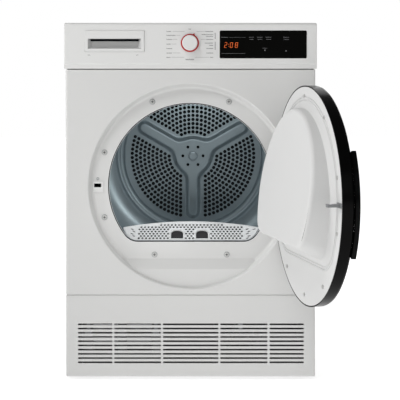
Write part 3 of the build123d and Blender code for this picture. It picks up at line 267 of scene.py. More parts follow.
def wound_outwards(verts, faces):
    """The same faces, all turned to face out of their closed shells."""
    shell = bmesh.new()
    made = [shell.verts.new(v) for v in verts]
    for loop in faces:
        shell.faces.new([made[i] for i in loop])
    bmesh.ops.recalc_face_normals(shell, faces=shell.faces)
    shell.verts.index_update()
    turned = [[v.index for v in f.verts] for f in shell.faces]
    shell.free()
    return turned


def prints(name, outlines, front, thick, body, material):
    """Flat shapes, each a list of (x, z) points, standing on the plane y = front."""
    verts, faces = [], []
    for outline in outlines:
        first, count = len(verts), len(outline)
        verts += [(x, front, z) for x, z in outline]
        verts += [(x, front - thick, z) for x, z in outline]
        faces.append([first + i for i in range(count)])
        faces.append([first + count + i for i in reversed(range(count))])
        for i in range(count):
            j = (i + 1) % count
            faces.append([first + i, first + count + i, first + count + j, first + j])
    return add_piece(name, verts, wound_outwards(verts, faces), body, material)


def bar(x0, x1, z, high, cut=0.25):
    """Outline of a bar with clipped corners, from x0 to x1, centred on height z."""
    c = min(cut * high, 0.4 * abs(x1 - x0))
    low, top = z - high / 2, z + high / 2
    return [
        (x0 + c, low), (x1 - c, low), (x1, low + c), (x1, top - c),
        (x1 - c, top), (x0 + c, top), (x0, top - c), (x0, low + c),
    ]


def word(x0, x1, z, high, pitch=0.0011):
    """A run of small upright strokes that reads as unreadable print from x0 to x1."""
    strokes = []
    count = max(2, round((x1 - x0) / pitch))
    step = (x1 - x0) / count
    for i in range(count):
        tall = high * (1.0 if i % 3 == 0 else 0.72)
        left = x0 + i * step
        strokes.append(bar(left, left + 0.62 * step, z + (tall - high) / 2, tall))
    return strokes


def circle(radius, count, x=0.0, z=0.0, start=0.0):
    """Points of a circle in the x-z plane."""
    return [
        (x + radius * cos(start + 2 * pi * i / count), z + radius * sin(start + 2 * pi * i / count))
        for i in range(count)
    ]


def rings_to_faces(ring_count, size):
    """Quads between successive closed rings of size points each."""
    faces = []
    for ring in range(ring_count - 1):
        a, b = ring * size, (ring + 1) * size
        for i in range(size):
            j = (i + 1) % size
            faces.append([a + i, a + j, b + j, b + i])
    return faces


def fan(first, count, tip):
    """Triangles from a closed ring of count points, whose first is given, to a tip."""
    return [[first + i, first + (i + 1) % count, tip] for i in range(count)]


def hole_wall(rim, first):
    """Quads from the points of a hole's rim to their copies, which start at first."""
    faces = []
    for i, here in enumerate(rim):
        j = (i + 1) % len(rim)
        faces.append([here, first + i, first + j, rim[j]])
    return faces


def perforated(outer, holes, gap, keep):
    """Triangles of a flat sheet: outer outline, holes left open, inner outline gap if given.

    keep(x, y) says whether a triangle whose middle is there belongs to the sheet.
    Returns the points, the triangles, and for each hole the indices of its rim.
    """
    points, edges, loop_of = [], [], []
    loops = [outer] + ([gap] if gap else []) + holes
    for number, loop in enumerate(loops):
        first = len(points)
        points += [Vector(p) for p in loop]
        loop_of += [number] * len(loop)
        edges += [(first + i, first + (i + 1) % len(loop)) for i in range(len(loop))]
    found = delaunay_2d_cdt(points, edges, [], 0, 1e-7)
    flat, triangles, origin = found[0], found[2], found[3]
    source = [loop_of[o[0]] if o else -1 for o in origin]
    first_hole = 2 if gap else 1
    sheet_faces = []
    for triangle in triangles:
        marks = {source[i] for i in triangle}
        if len(marks) == 1 and min(marks) >= first_hole:
            continue
        middle = sum((flat[i] for i in triangle), Vector((0, 0))) / 3
        if keep(middle.x, middle.y):
            sheet_faces.append(list(triangle))
    place = {o[0]: i for i, o in enumerate(origin) if o}
    rims, first = [], len(outer) + (len(gap) if gap else 0)
    for loop in holes:
        rims.append([place[first + i] for i in range(len(loop))])
        first += len(loop)
    return flat, sheet_faces, rims


def weld(piece):
    """Join points that lie on each other, and point every face out."""
    joined = bmesh.new()
    joined.from_mesh(piece.data)
    bmesh.ops.remove_doubles(joined, verts=joined.verts, dist=1e-6)
    bmesh.ops.recalc_face_normals(joined, faces=joined.faces)
    joined.to_mesh(piece.data)
    joined.free()


def rolled(name, line, radius, closed, body, material, sides=8):
    """Round bead of that radius along a line of points."""
    points = [Vector(p) for p in line]
    count = len(points)
    verts = []
    for i, here in enumerate(points):
        before = points[i - 1] if closed or i else here
        after = points[(i + 1) % count] if closed or i < count - 1 else here
        ahead = (after - before).normalized()
        level = ahead.cross(Vector((0, -1, 0.01))).normalized()
        out = level.cross(ahead).normalized()
        for k in range(sides):
            turn = 2 * pi * k / sides
            verts.append(here + radius * (level * cos(turn) + out * sin(turn)))
    faces = []
    for i in range(count if closed else count - 1):
        j = (i + 1) % count
        for k in range(sides):
            m = (k + 1) % sides
            faces.append([i * sides + k, i * sides + m, j * sides + m, j * sides + k])
    if not closed:
        faces.append([k for k in range(sides)])
        faces.append([(count - 1) * sides + k for k in range(sides)])
    bead = add_piece(name, verts, faces, body, material, smooth=60)
    weld(bead)
    return bead


def turned(name, profile, x, z, body, slot, material):
    """Solid turned about an axis along Y through x and z: radius and y of each point, tip last."""
    verts, count = [], 64
    for radius, y in profile[:-1]:
        verts += [(px, y, pz) for px, pz in circle(radius, count, x, z)]
    verts.append((x, profile[-1][1], z))
    faces = rings_to_faces(len(profile) - 1, count)
    faces += fan(count * (len(profile) - 2), count, len(verts) - 1)
    faces.append(list(range(count)))
    piece = add_piece(name, verts, faces, body, material, smooth=40)
    weld(piece)
    return piece


def tube_ring(name, middle, radius, tube, body, material):
    """Thin ring lying round a screw on a plane that faces the front."""
    line = [(middle[0] + x, middle[1], middle[2] + z) for x, z in circle(radius, 28)]
    return rolled(name, line, tube, True, body, material, sides=6)


def point_inside(point, outline):
    """Even-odd test of a point against a closed outline."""
    inside = False
    for (x0, y0), (x1, y1) in zip(outline, outline[1:] + outline[:1]):
        if (y0 > point.y) != (y1 > point.y):
            if point.x < x0 + (point.y - y0) * (x1 - x0) / (y1 - y0):
                inside = not inside
    return inside


# ---------------------------------------------------------------- sizes that several pieces share
FASCIA_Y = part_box("control_panel")[0][1]
# the front panel lies this far behind the fascia, and its recess is this deep, in millimetres
PANEL_BACK, RECESS_DEEP = 4, 20
RECESS_Y = FASCIA_Y + mm(PANEL_BACK + RECESS_DEEP)
# loading opening: radius of its round part, drop to its flat sill, radius of its lower corners
OPENING_R, SILL, SILL_CORNER = mm(197.5, 135, 40)
OPENING_Z = (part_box("door_ring")[0][2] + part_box("door_ring")[1][2]) / 2
# the door's plug is shaped like the opening, with its own sill and corners
PLUG_SILL, PLUG_CORNER = mm(127.6, 60)
ARC_STEPS, CORNER_STEPS = 96, 10
# hinge axis on plan, how far it lies before the front panel, and the door's angle as shown
HINGE_X, HINGE_Y, HINGE_AHEAD = mm(215, -295, 15)
DOOR_OPEN = radians(102.7)


# ---------------------------------------------------------------- drum back with its air holes
DRUM_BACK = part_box("drum_back")
HUB_Z = (DRUM_BACK[0][2] + DRUM_BACK[1][2]) / 2
# depths of the drum back's plate and of the origin behind the front panel, in millimetres
PLATE_DEPTH, ORIGIN_DEPTH = 446, 280
PLATE_Y = mm(PLATE_DEPTH - ORIGIN_DEPTH)
SPOKES = (pi / 6, 5 * pi / 6, 3 * pi / 2)
SPOKE_HALF, SPOKE_END, HUB_DISC = mm(20, 174, 55)
HUB_BLEND = mm(22)


def star_distance(x, z):
    """Distance outside the star's foot: three round-ended arms blended into the hub disc."""
    reach = SPOKE_END - SPOKE_HALF
    arms = 1.0
    for angle in SPOKES:
        along = x * cos(angle) + z * sin(angle)
        across = -x * sin(angle) + z * cos(angle)
        near = min(max(along, 0.0), reach)
        arms = min(arms, hypot(along - near, across) - SPOKE_HALF)
    disc = hypot(x, z) - HUB_DISC
    mix = max(HUB_BLEND - abs(arms - disc), 0.0) / HUB_BLEND
    return min(arms, disc) - mix * mix * HUB_BLEND / 4


def star_radius(angle, distance):
    """How far from the centre a ray at this angle leaves the star's contour."""
    low, high = 0.0, mm(200)
    for _ in range(26):
        middle = (low + high) / 2
        if star_distance(middle * cos(angle), middle * sin(angle)) < distance:
            low = middle
        else:
            high = middle
    return low


def star_contour(distance):
    """Closed contour of the star at a distance from its foot."""
    contour, count = [], 540
    for i in range(count):
        angle = 2 * pi * i / count
        radius = star_radius(angle, distance)
        contour.append((radius * cos(angle), radius * sin(angle)))
    return contour


def air_holes(radius):
    """Hole outlines of the three perforated fields, in arcs between the star's arms."""
    start, pitch, edge = mm(66.5, 11.4, 34.5)
    rows = 10
    outlines = []
    for field in range(3):
        middle = pi / 2 + field * 2 * pi / 3
        for row in range(rows):
            reach = start + row * pitch
            half = pi / 3 - atan2(edge, sqrt(reach * reach - edge * edge))
            count = 7 + 2 * row
            for i in range(count):
                angle = middle + half * (2 * i / (count - 1) - 1)
                outlines.append(circle(radius, 14, reach * cos(angle), reach * sin(angle), angle))
    return outlines


def drum_back():
    """Stamped back of the drum: perforated plate, raised star, groove, ridge and dished edge."""
    sheet_thick, hole_r, plate_r, shade_r = mm(1.2, 4.75, 187.5, 186)
    bolt_circle, bolt_r, bolt_shade_r = mm(28, 4.3, 4.2)
    around = 180
    # heights of the star's flank: distance from its foot against rise, rounded at both bends
    flank = mm_pairs((2.6, 0), (1.2, 0.25), (0, 0.9), (-1.4, 2.2), (-3.4, 4.8), (-5.6, 7.8),
                     (-7.4, 10.0), (-8.8, 11.3), (-10.2, 11.9), (-12.0, 12.0))
    foot = star_contour(flank[0][0])
    flat, sheet, rims = perforated(
        circle(plate_r, around), air_holes(hole_r), foot,
        lambda x, z: star_distance(x, z) > flank[0][0] - 1e-6,
    )
    verts = [(p.x, PLATE_Y, HUB_Z + p.y) for p in flat]
    faces = [[a, c, b] for a, b, c in sheet]
    for rim in rims:
        first = len(verts)
        verts += [(verts[i][0], PLATE_Y + sheet_thick, verts[i][2]) for i in rim]
        faces += hole_wall(rim, first)
    add_piece("drum_back_plate", verts, faces, "drum", DRUM_STEEL, smooth=35)

    verts, contours = [], [star_contour(distance) for distance, _ in flank]
    for contour, (_, rise) in zip(contours, flank):
        verts += [(x, PLATE_Y - rise, HUB_Z + z) for x, z in contour]
    size = len(foot)
    faces = rings_to_faces(len(flank), size)
    top = contours[-1]
    bolts = [(bolt_circle * cos(k * pi / 3), bolt_circle * sin(k * pi / 3)) for k in range(6)]
    holes = [circle(bolt_r, 20, x, z) for x, z in bolts]
    face_y = PLATE_Y - flank[-1][1]
    flat, sheet, rims = perforated(
        top, holes, None, lambda x, z: star_distance(x, z) < flank[-1][0] + 1e-6
    )
    first = len(verts)
    verts += [(p.x, face_y, HUB_Z + p.y) for p in flat]
    faces += [[first + a, first + c, first + b] for a, b, c in sheet]
    for rim in rims:
        start = len(verts)
        verts += [(verts[first + i][0], face_y + mm(4), verts[first + i][2]) for i in rim]
        faces += hole_wall([first + i for i in rim], start)
    star = add_piece("drum_back_star", verts, faces, "drum", DRUM_STEEL, smooth=40)
    weld(star)

    # painted shade: a black disc behind the air holes, and black floors in the bolt holes
    shade = [circle(shade_r, 96)] + [circle(bolt_shade_r, 16, x, z) for x, z in bolts]
    depths = [PLATE_Y + mm(2.6)] + [face_y + mm(1.2)] * len(bolts)
    verts, faces = [], []
    for outline, deep in zip(shade, depths):
        faces.append([len(verts) + i for i in range(len(outline))])
        verts += [(x, deep, HUB_Z + z) for x, z in outline]
    add_piece("drum_back_shade", verts, faces, "drum", PAINTED_SHADE_BLACK)

    # groove, ridge and dished edge, turned about the drum's axis: radius and depth past the plate
    profile = mm_pairs(
        (187.5, 0), (189.5, 0.3), (191, 1.6), (192.6, 4.4), (194.4, 6.0), (198, 6.3), (201, 5.8),
        (203, 3.6), (205, 1.6), (207.5, 0.7), (210, 1.3), (212.5, 3.8), (215.5, 5.6), (221, 5.9),
        (232, 4.9), (245, 2.2), (257, -2.4), (267, -8.2), (275, -14.6), (280, -19.2),
        (282.7, -23.4),
    )
    verts = []
    for radius, deep in profile:
        verts += [(x, PLATE_Y + deep, HUB_Z + z) for x, z in circle(radius, around)]
    edge = add_piece("drum_back_rim", verts, rings_to_faces(len(profile), around), "drum",
                     DRUM_STEEL, smooth=50)
    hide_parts("drum_back")


def hub_cap():
    """Domed cap over the end of the drum's shaft."""
    profile = mm_pairs((12.9, 0), (12.9, -1.2), (12.2, -2.4), (10.5, -3.1), (7, -3.6), (3, -3.8))
    front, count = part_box("drum_shaft")[0][1] + mm(0.4), 48
    verts = []
    for radius, deep in profile:
        verts += [(x, front + deep, HUB_Z + z) for x, z in circle(radius, count)]
    verts.append((0, front + profile[-1][1], HUB_Z))
    faces = rings_to_faces(len(profile), count)
    faces += fan(count * (len(profile) - 1), count, len(verts) - 1)
    cap = add_piece("hub_cap", verts, faces, "drum", DRUM_STEEL, smooth=50)
    weld(cap)


drum_back()
hub_cap()


# ---------------------------------------------------------------- lint filter cover
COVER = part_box("filter_cover")
COVER_CROWN_R = mm(1100)
COVER_LOW_Y, COVER_LOW_Z = COVER[0][1], COVER[0][2] + mm(1.5)
COVER_HIGH_Y, COVER_HIGH_Z = COVER[1][1] - mm(4), COVER[1][2]
COVER_RUN = hypot(COVER_HIGH_Y - COVER_LOW_Y, COVER_HIGH_Z - COVER_LOW_Z)
FINGERS = {"left": mm(-47.5, -18.5), "right": mm(12.5, 41.5)}
FINGER_LOW, FINGER_TOP = mm(4.4, 33.0)


def cover_limit(up):
    """Half width of the cover at a height up its slope, inside the loading opening."""
    inset = mm(2)
    drop = OPENING_Z - COVER_LOW_Z - up / COVER_RUN * (COVER_HIGH_Z - COVER_LOW_Z)
    if drop < (SILL - SILL_CORNER) * (OPENING_R - inset) / (OPENING_R - SILL_CORNER):
        return sqrt((OPENING_R - inset) ** 2 - drop * drop)
    below = min(drop - (SILL - SILL_CORNER), SILL_CORNER - inset)
    corner_x = sqrt((OPENING_R - SILL_CORNER) ** 2 - (SILL - SILL_CORNER) ** 2)
    return corner_x + sqrt((SILL_CORNER - inset) ** 2 - below * below)


def cover_top(x):
    """How far up the slope the cover reaches, under its crowned upper edge."""
    fall = COVER_CROWN_R - sqrt(COVER_CROWN_R**2 - x * x)
    return COVER_RUN * (1 - fall / (COVER_HIGH_Z - COVER_LOW_Z))


def on_cover(x, up, proud=0.0):
    """Point of the row frame at x and a distance up the slope, proud of the cover."""
    t = up / COVER_RUN
    dy, dz = COVER_HIGH_Y - COVER_LOW_Y, COVER_HIGH_Z - COVER_LOW_Z
    y = COVER_LOW_Y + t * dy - proud * dz / COVER_RUN
    return x, y, COVER_LOW_Z + t * dz + proud * dy / COVER_RUN


def arch(side, grow):
    """Outline of a finger hole, round at its upper corners, grown by grow."""
    count = 14
    x0, x1 = FINGERS[side][0] - grow, FINGERS[side][1] + grow
    bend = mm(11) + grow
    low, top = FINGER_LOW - min(grow, mm(1.5)), FINGER_TOP + grow
    points = [(x0, low), (x1, low)]
    for i in range(count + 1):
        turn = pi / 2 * i / count
        points.append((x1 - bend * (1 - cos(turn)), top - bend * (1 - sin(turn))))
    for i in range(count + 1):
        turn = pi / 2 + pi / 2 * i / count
        points.append((x0 + bend * (1 + cos(turn)), top - bend * (1 - sin(turn))))
    return points


def near_arch(x, up, margin):
    """True if a point lies on a finger hole or within margin of it."""
    return up < FINGER_TOP + margin and any(
        x0 - margin < x < x1 + margin for x0, x1 in FINGERS.values()
    )


def cover_outline():
    """Edge of the cover: its lower edge, both sides and the crown."""
    side = []
    for i in range(1, 40):
        up = COVER_RUN * i / 40
        x = cover_limit(up)
        if up < cover_top(x):
            side.append((x, up))
    end = side[-1][0]
    crown = [(end * (1 - 2 * i / 48), cover_top(end * (1 - 2 * i / 48))) for i in range(49)]
    foot = cover_limit(0)
    return [(-foot, 0.0), (foot, 0.0)] + side + crown + [(-x, up) for x, up in reversed(side)]


def sieve_holes():
    """Round holes in staggered rows, and slanted dashes at both ends."""
    hole_r, pitch, row_pitch, edge, dashes_from = mm(2.9, 8.7, 7.75, 5.6, 126)
    dash_long, dash_high = mm(4.8, 1.8)
    holes = []
    for row in range(8):
        up = mm(6.4) + row * row_pitch
        for column in range(-20, 21):
            x = (column + (0.5 if row % 2 else 0.0)) * pitch + mm(-3)
            if abs(x) > cover_limit(up) - edge or up > cover_top(x) - edge:
                continue
            if near_arch(x, up, mm(5.2)):
                continue
            if abs(x) < dashes_from:
                holes.append([(x + a, up + 1.2 * b) for a, b in circle(hole_r, 12)])
            elif column % 2 == 0:
                lean = radians(28) * (1 if x > 0 else -1)
                dash = []
                for i in range(12):
                    turn = 2 * pi * i / 12
                    a, b = dash_long * cos(turn), dash_high * sin(turn)
                    dash.append((x + a * cos(lean) - b * sin(lean),
                                 up + a * sin(lean) + b * cos(lean)))
                holes.append(dash)
    return holes


def filter_cover():
    """Perforated cover with two hooded finger holes and a rolled rim."""
    outline = cover_outline()
    windows = [arch(side, 0.0) for side in FINGERS]
    flat, sheet, rims = perforated(
        outline, sieve_holes() + windows, None,
        lambda x, up: not any(point_inside(Vector((x, up)), w) for w in windows),
    )
    verts = [on_cover(p.x, p.y, mm(0.6)) for p in flat]
    faces = list(sheet)
    for rim in rims:
        first = len(verts)
        verts += [on_cover(flat[i].x, flat[i].y, mm(-1.6)) for i in rim]
        count = len(rim)
        for i in range(count):
            j = (i + 1) % count
            faces.append([rim[i], rim[j], first + j, first + i])
    cover = add_piece("filter_cover_sheet", verts, faces, "filter", PALE_PLASTIC,
                      smooth=40)
    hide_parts("filter_cover")

    # painted shade: a dark sheet under the sieve, seen through its holes
    under = [(x * 0.985, mm(1.5) + up * 0.95) for x, up in outline]
    shade = [on_cover(x, up, mm(-3.4)) for x, up in under]
    add_piece("filter_cover_shade", shade, [list(range(len(shade)))], "filter",
              SIEVE_SHADE)

    # rolled rim all round, and a hood over each finger hole
    rolled("filter_cover_rim", [on_cover(x, up, mm(0.4)) for x, up in outline], mm(1.5), True,
           "filter", PALE_PLASTIC)
    for side in FINGERS:
        hood = [on_cover(x, up, mm(0.5)) for x, up in arch(side, mm(2.2))]
        rolled(f"filter_hood_{side}", hood, mm(1.7), True, "filter", PALE_PLASTIC)


filter_cover()


# ---------------------------------------------------------------- recess: hem, screws, door liner
def opening_points(inset, sill, corner):
    """Outline of the loading opening or the plug, in x and height from the door's centre.

    The round part comes first, with ARC_STEPS + 1 points, and then the flat sill's two corners.
    """
    reach, big = OPENING_R - corner, OPENING_R - inset
    corner_x = sqrt(reach**2 - (sill - corner) ** 2)
    start = atan2(-(sill - corner), corner_x)
    turns = [start + (pi - 2 * start) * i / ARC_STEPS for i in range(ARC_STEPS + 1)]
    points = [(big * cos(turn), big * sin(turn)) for turn in turns]
    left, right = [], []
    for i in range(1, CORNER_STEPS + 1):
        turn = start - (pi / 2 + start) * i / CORNER_STEPS
        x = corner_x + (corner - inset) * cos(turn)
        z = -(sill - corner) + (corner - inset) * sin(turn)
        right.append((x, z))
        left.append((-x, z))
    return points + left + right[::-1]


# places of the recess screws from the door's centre, and of the middle of the latch's mouth
RECESS_SCREWS = [
    (side * mm(x), mm(z))
    for x, z in ((91, 199.6), (205, 79), (205, -75.5), (86, -164.5)) for side in (-1, 1)
]
LATCH = (mm(-221), OPENING_Z + mm(0.6))


def opening_beads():
    """Rounded hem of the loading opening in a paler white than the enamel, a painted highlight; a
    black bead in the gap inside it, painted shade; and a bead at the seal's edge painted pale, a
    painted highlight.
    """
    for name, inset, deep, tube, closed, slot, material in (
        ("opening_hem_highlight", -0.2, 0.5, 1.0, True, "white_enamel", LINER),
        ("opening_gap_shade", 1.6, 3.2, 0.9, True, "rubber_grey", PAINTED_SHADE_BLACK),
        ("opening_lip_highlight", 2.6, 4.6, 0.7, False, "rubber_grey", LINER),
    ):
        outline = opening_points(mm(inset), SILL, SILL_CORNER)
        if not closed:
            outline = outline[:ARC_STEPS + 1]
        line = [(x, RECESS_Y + mm(deep), OPENING_Z + z) for x, z in outline]
        rolled(name, line, mm(tube), closed, "cabinet", material)


def recess_screws():
    """Painted shadow ring round every screw in the recess, and painted shade in the cross of its
    head.
    """
    shapes = []
    for index, (x, z) in enumerate(RECESS_SCREWS):
        place = (x, RECESS_Y - mm(0.15), OPENING_Z + z)
        tube_ring(f"screw_shadow_ring_{index}", place, mm(6.3), mm(0.55), "cabinet",
                  GREY_RUBBER)
        shapes.append(bar(x - mm(3.1), x + mm(3.1), OPENING_Z + z, mm(1.2)))
        shapes.append(bar(x - mm(0.6), x + mm(0.6), OPENING_Z + z, mm(6.2), 0.05))
    prints("screw_crosses", shapes, RECESS_Y - mm(2.55), mm(0.12), "cabinet",
           PAINTED_SHADE_BLACK)


def latch_inside():
    """Painted shade inside the latch: black linings of its mouth and of the box behind it; and a
    painted shadow ring where its screw sits.
    """
    latch_low, latch_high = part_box("latch_plate")
    mouth_x, mouth_z = LATCH
    verts = []
    # depth behind the front panel, reach to the left and to the right, and half height
    for deep, left, right, high in ((17.2, 8.4, 8.4, 4.4), (24, 8.4, 8.4, 4.4),
                                    (24.2, 8.4, 10.9, 6.9), (47.8, 8.4, 10.9, 6.9)):
        verts += [(mouth_x + mm(x), RECESS_Y + mm(deep - RECESS_DEEP), mouth_z + mm(z))
                  for x, z in ((-left, -high), (right, -high), (right, high), (-left, high))]
    faces = rings_to_faces(4, 4) + [[12, 13, 14, 15]]
    add_piece("latch_shade", verts, faces, "cabinet", PAINTED_SHADE_BLACK)
    latch_x = (latch_low[0] + latch_high[0]) / 2
    tube_ring("latch_screw_shadow_ring", (latch_x, RECESS_Y - mm(0.2), latch_high[2] + mm(6.5)), mm(2.6),
              mm(0.8), "cabinet", GREY_RUBBER)


def door_point(x, depth, z):
    """Row-frame point of the open door: x, depth and height as if the door were shut."""
    dx, deep = x - HINGE_X, depth + HINGE_AHEAD
    return (HINGE_X + cos(DOOR_OPEN) * dx - sin(DOOR_OPEN) * deep,
            HINGE_Y + sin(DOOR_OPEN) * dx + cos(DOOR_OPEN) * deep, z)


def clear_of_hinge(inset, depth):
    """Points on the door round the plug, leaving out the side where the hinge ears pass."""
    ears_from = mm(185)
    line = opening_points(mm(inset), PLUG_SILL, PLUG_CORNER)
    beside = [i for i, (x, _) in enumerate(line) if x > ears_from]
    line = line[beside[-1] + 1:] + line[:beside[0]]
    return [door_point(x, mm(depth), OPENING_Z + z) for x, z in line]


def door_details():
    """Two low beads round the plug of the door's liner, and a thin grey bead at their foot, painted
    shade of a groove.
    """
    for name, inset, depth, tube in (("door_liner_bead", -13.0, -0.9, 1.5),
                                     ("door_liner_step", -7.5, -0.5, 1.0)):
        rolled(name, clear_of_hinge(inset, depth), mm(tube), False, "door",
               DOOR_LINER)
    rolled("door_liner_groove_shade", clear_of_hinge(-15.2, -1.2), mm(0.6), False, "door",
           SHADE_GREY)


def door_glass():
    """Gently domed black glass on the front of the door, with its edge."""
    # radius of the glass, height of its dome, depth of its face behind the front, in millimetres
    rim, rise, deep = 213.5, 7.0, -26.0
    count = 128
    curve = (rim * rim + rise * rise) / (2 * rise)
    profile = [(rim, deep + 3.0), (rim, deep + 0.6), (rim - 0.6, deep)]
    profile += [(r, deep - rise + curve - sqrt(curve * curve - r * r))
                for r in (205, 190, 170, 145, 120, 95, 70, 45, 20)]
    verts = []
    for radius, depth in profile:
        verts += [door_point(mm(x), mm(depth), OPENING_Z + mm(z)) for x, z in circle(radius, count)]
    verts.append(door_point(0, mm(deep - rise), OPENING_Z))
    faces = rings_to_faces(len(profile), count)
    faces += fan(count * (len(profile) - 1), count, len(verts) - 1)
    faces.append(list(range(count)))
    glass = add_piece("door_glass", verts, faces, "door", DOOR_GLASS, smooth=30)
    weld(glass)
    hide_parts("door_outer_panel")


opening_beads()
recess_screws()
latch_inside()
door_details()
door_glass()


# ---------------------------------------------------------------- dial scale and display print
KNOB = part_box("program_knob")
DIAL_X, DIAL_Z = (KNOB[0][0] + KNOB[1][0]) / 2, (KNOB[0][2] + KNOB[1][2]) / 2
PRINT_THICK = mm(0.12)


def dial_scale():
    """Unreadable programme names with leader lines on both sides of the dial."""
    row_z = [mm(z) for z in (27.4, 18.2, 8.7, -2.4, -12.8, -23.4, -33.5)]
    outer, high, line_high = mm(55, 2.3, 0.45)
    left_words = (44.4, 33.8, 41.3, 45.0, 41.3, 42.0, 45.6)
    left_lines = ((41.3, 12.8), (31.9, 22.4), (40.2, 29.5), (43.2, 31.9), None, (40.5, 22.4),
                  (44.4, 13.0))
    shapes = []
    for z, inner, line in zip(row_z, left_words, left_lines):
        shapes += word(DIAL_X - outer, DIAL_X - mm(inner), DIAL_Z + z, high)
        if line:
            shapes.append(bar(DIAL_X - mm(line[0]), DIAL_X - mm(line[1]), DIAL_Z + z, line_high))
    right_words = ((36.6, 0), (27.9, 1.9), (38.9, 0), (35.4, 2.4), (39.0, 0), (39.0, 0), (48.0, 0))
    right_lines = ((15.4, 35.4), None, (25.5, 36.6), None, None, None, (11.8, 46.0))
    for z, (inner, lift), line in zip(row_z, right_words, right_lines):
        shapes += word(DIAL_X + mm(inner), DIAL_X + outer, DIAL_Z + z + mm(lift), high)
        if lift:
            shapes += word(DIAL_X + mm(inner + 10), DIAL_X + outer, DIAL_Z + z - mm(lift + 0.6),
                           high)
        if line:
            shapes.append(bar(DIAL_X + mm(line[0]), DIAL_X + mm(line[1]), DIAL_Z + z, line_high))
    shapes += word(DIAL_X - mm(3), DIAL_X + mm(3), DIAL_Z + mm(33), mm(2.4))
    shapes += word(DIAL_X - mm(10), DIAL_X + mm(10), DIAL_Z - mm(38.6), mm(3.0), mm(1.4))
    # upright names at the far right, one for each group of rows
    for z0, z1 in ((10, 24), (-16, 3)):
        count = round((z1 - z0) / 1.2)
        for i in range(count):
            z = DIAL_Z + mm(z0 + (i + 0.5) * (z1 - z0) / count)
            shapes.append(bar(DIAL_X + mm(58.5), DIAL_X + mm(60.5), z, mm(0.7)))
    # drawer marks
    for x in (-238.6, -125.2):
        shapes += word(mm(x - 3), mm(x + 3), mm(768.8), mm(1.8))
    prints("dial_scale_print", shapes, FASCIA_Y, PRINT_THICK, "cabinet", SCALE_INK)


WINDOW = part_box("display_window")
LIT = {"2": "abged", "0": "abcdef", "8": "abcdefg"}


def digit(mark, x, z, wide, high, stroke, lean=0.10):
    """Lit segments of one seven-segment digit, its lower left corner at x and z."""
    half = high / 2
    places = {
        "a": (0, high, wide, high), "g": (0, half, wide, half), "d": (0, 0, wide, 0),
        "f": (0, half, 0, high), "b": (wide, half, wide, high),
        "e": (0, 0, 0, half), "c": (wide, 0, wide, half),
    }
    shapes = []
    for name in LIT[mark]:
        x0, z0, x1, z1 = places[name]
        along = Vector((x1 - x0, z1 - z0)).normalized()
        across = Vector((-along.y, along.x)) * stroke / 2
        a = Vector((x0, z0)) + along * stroke * 0.30
        b = Vector((x1, z1)) - along * stroke * 0.30
        tip = along * stroke / 2
        outline = [a, a + tip - across, b - tip - across, b, b - tip + across, a + tip + across]
        shapes.append([(x + p.x + lean * p.y, z + p.y) for p in outline])
    return shapes


def display():
    """Lit time and the pale print behind the smoked window."""
    x0, z0 = WINDOW[0][0], WINDOW[0][2]
    front = WINDOW[0][1]
    digit_z, wide, high, stroke = z0 + mm(25.2), mm(5.3), mm(11.8), mm(0.75)
    lit = digit("2", x0 + mm(10.8), digit_z, wide, high, stroke)
    lit += digit("0", x0 + mm(24.2), digit_z, wide, high, stroke)
    lit += digit("8", x0 + mm(36.0), digit_z, wide, high, stroke)
    for rise in (3.4, 8.0):
        lit.append(circle(mm(0.6), 12, x0 + mm(20.4 + 0.1 * rise), digit_z + mm(rise)))
    prints("lit_time", lit, front, PRINT_THICK, "cabinet", DIGITS)

    pale = word(x0 + mm(3), x0 + mm(20), z0 + mm(49.6), mm(1.7))
    pale.append(bar(x0 + mm(22), x0 + mm(61), z0 + mm(49.2), mm(0.35)))
    pale.append(bar(x0 + mm(4), x0 + mm(60), z0 + mm(11.4), mm(0.5)))
    for start, end in ((69.5, 80.5), (88.5, 101), (108.5, 122), (150, 163.5)):
        pale += word(x0 + mm(start), x0 + mm(end), z0 + mm(49.8), mm(1.8))
        pale += word(x0 + mm(start + 1), x0 + mm(end - 0.6), z0 + mm(44.8), mm(1.8))
    # child lock mark and start mark
    pale += word(x0 + mm(101.5), x0 + mm(111.5), z0 + mm(24.0), mm(1.6))
    pale.append(circle(mm(1.5), 14, x0 + mm(106.4), z0 + mm(19.0)))
    start_x, start_z = x0 + mm(156.5), z0 + mm(17.5)
    pale.append([(start_x - mm(1.4), start_z - mm(1.9)), (start_x + mm(2.2), start_z),
                 (start_x - mm(1.4), start_z + mm(1.9))])
    prints("display_print", pale, front, PRINT_THICK, "cabinet", PALE_INK)


def drawer_grip():
    """Liner of the drawer's grip pocket in mid grey, painted shade, with a black box along its top,
    the slot's painted shade.
    """
    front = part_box("tank_front")[0][1]
    middle = (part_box("tank_front")[0][0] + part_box("tank_front")[1][0]) / 2
    rings = ((0.3, 62.6, 783.1, 806.9), (13.9, 54.2, 788.3, 805.7))
    verts = []
    for deep, half, low, top in rings:
        half, low, top = mm(half, low, top)
        y = front + mm(deep)
        verts += [(middle - half, y, low), (middle + half, y, low), (middle + half, y, top),
                  (middle - half, y, top)]
    faces = rings_to_faces(2, 4) + [[4, 5, 6, 7]]
    add_piece("drawer_grip_shade_liner", verts, faces, "tank", SHADE_GREY)
    lip = [(middle + mm(x), front + mm(0.7), mm(782.6)) for x in range(-62, 63, 4)]
    rolled("drawer_grip_lip", lip, mm(1.2), False, "tank", LINER)
    half, low, top = mm(56.6, 801.6, 806.2)
    y0, y1 = front + mm(3.2), front + mm(13)
    corners = [(x, y, z) for y in (y0, y1) for x, z in
               ((middle - half, low), (middle + half, low), (middle + half, top),
                (middle - half, top))]
    faces = [[0, 1, 2, 3], [7, 6, 5, 4]] + rings_to_faces(2, 4)
    add_piece("drawer_grip_slot_shade", corners, wound_outwards(corners, faces), "tank",
              PAINTED_SHADE_BLACK)


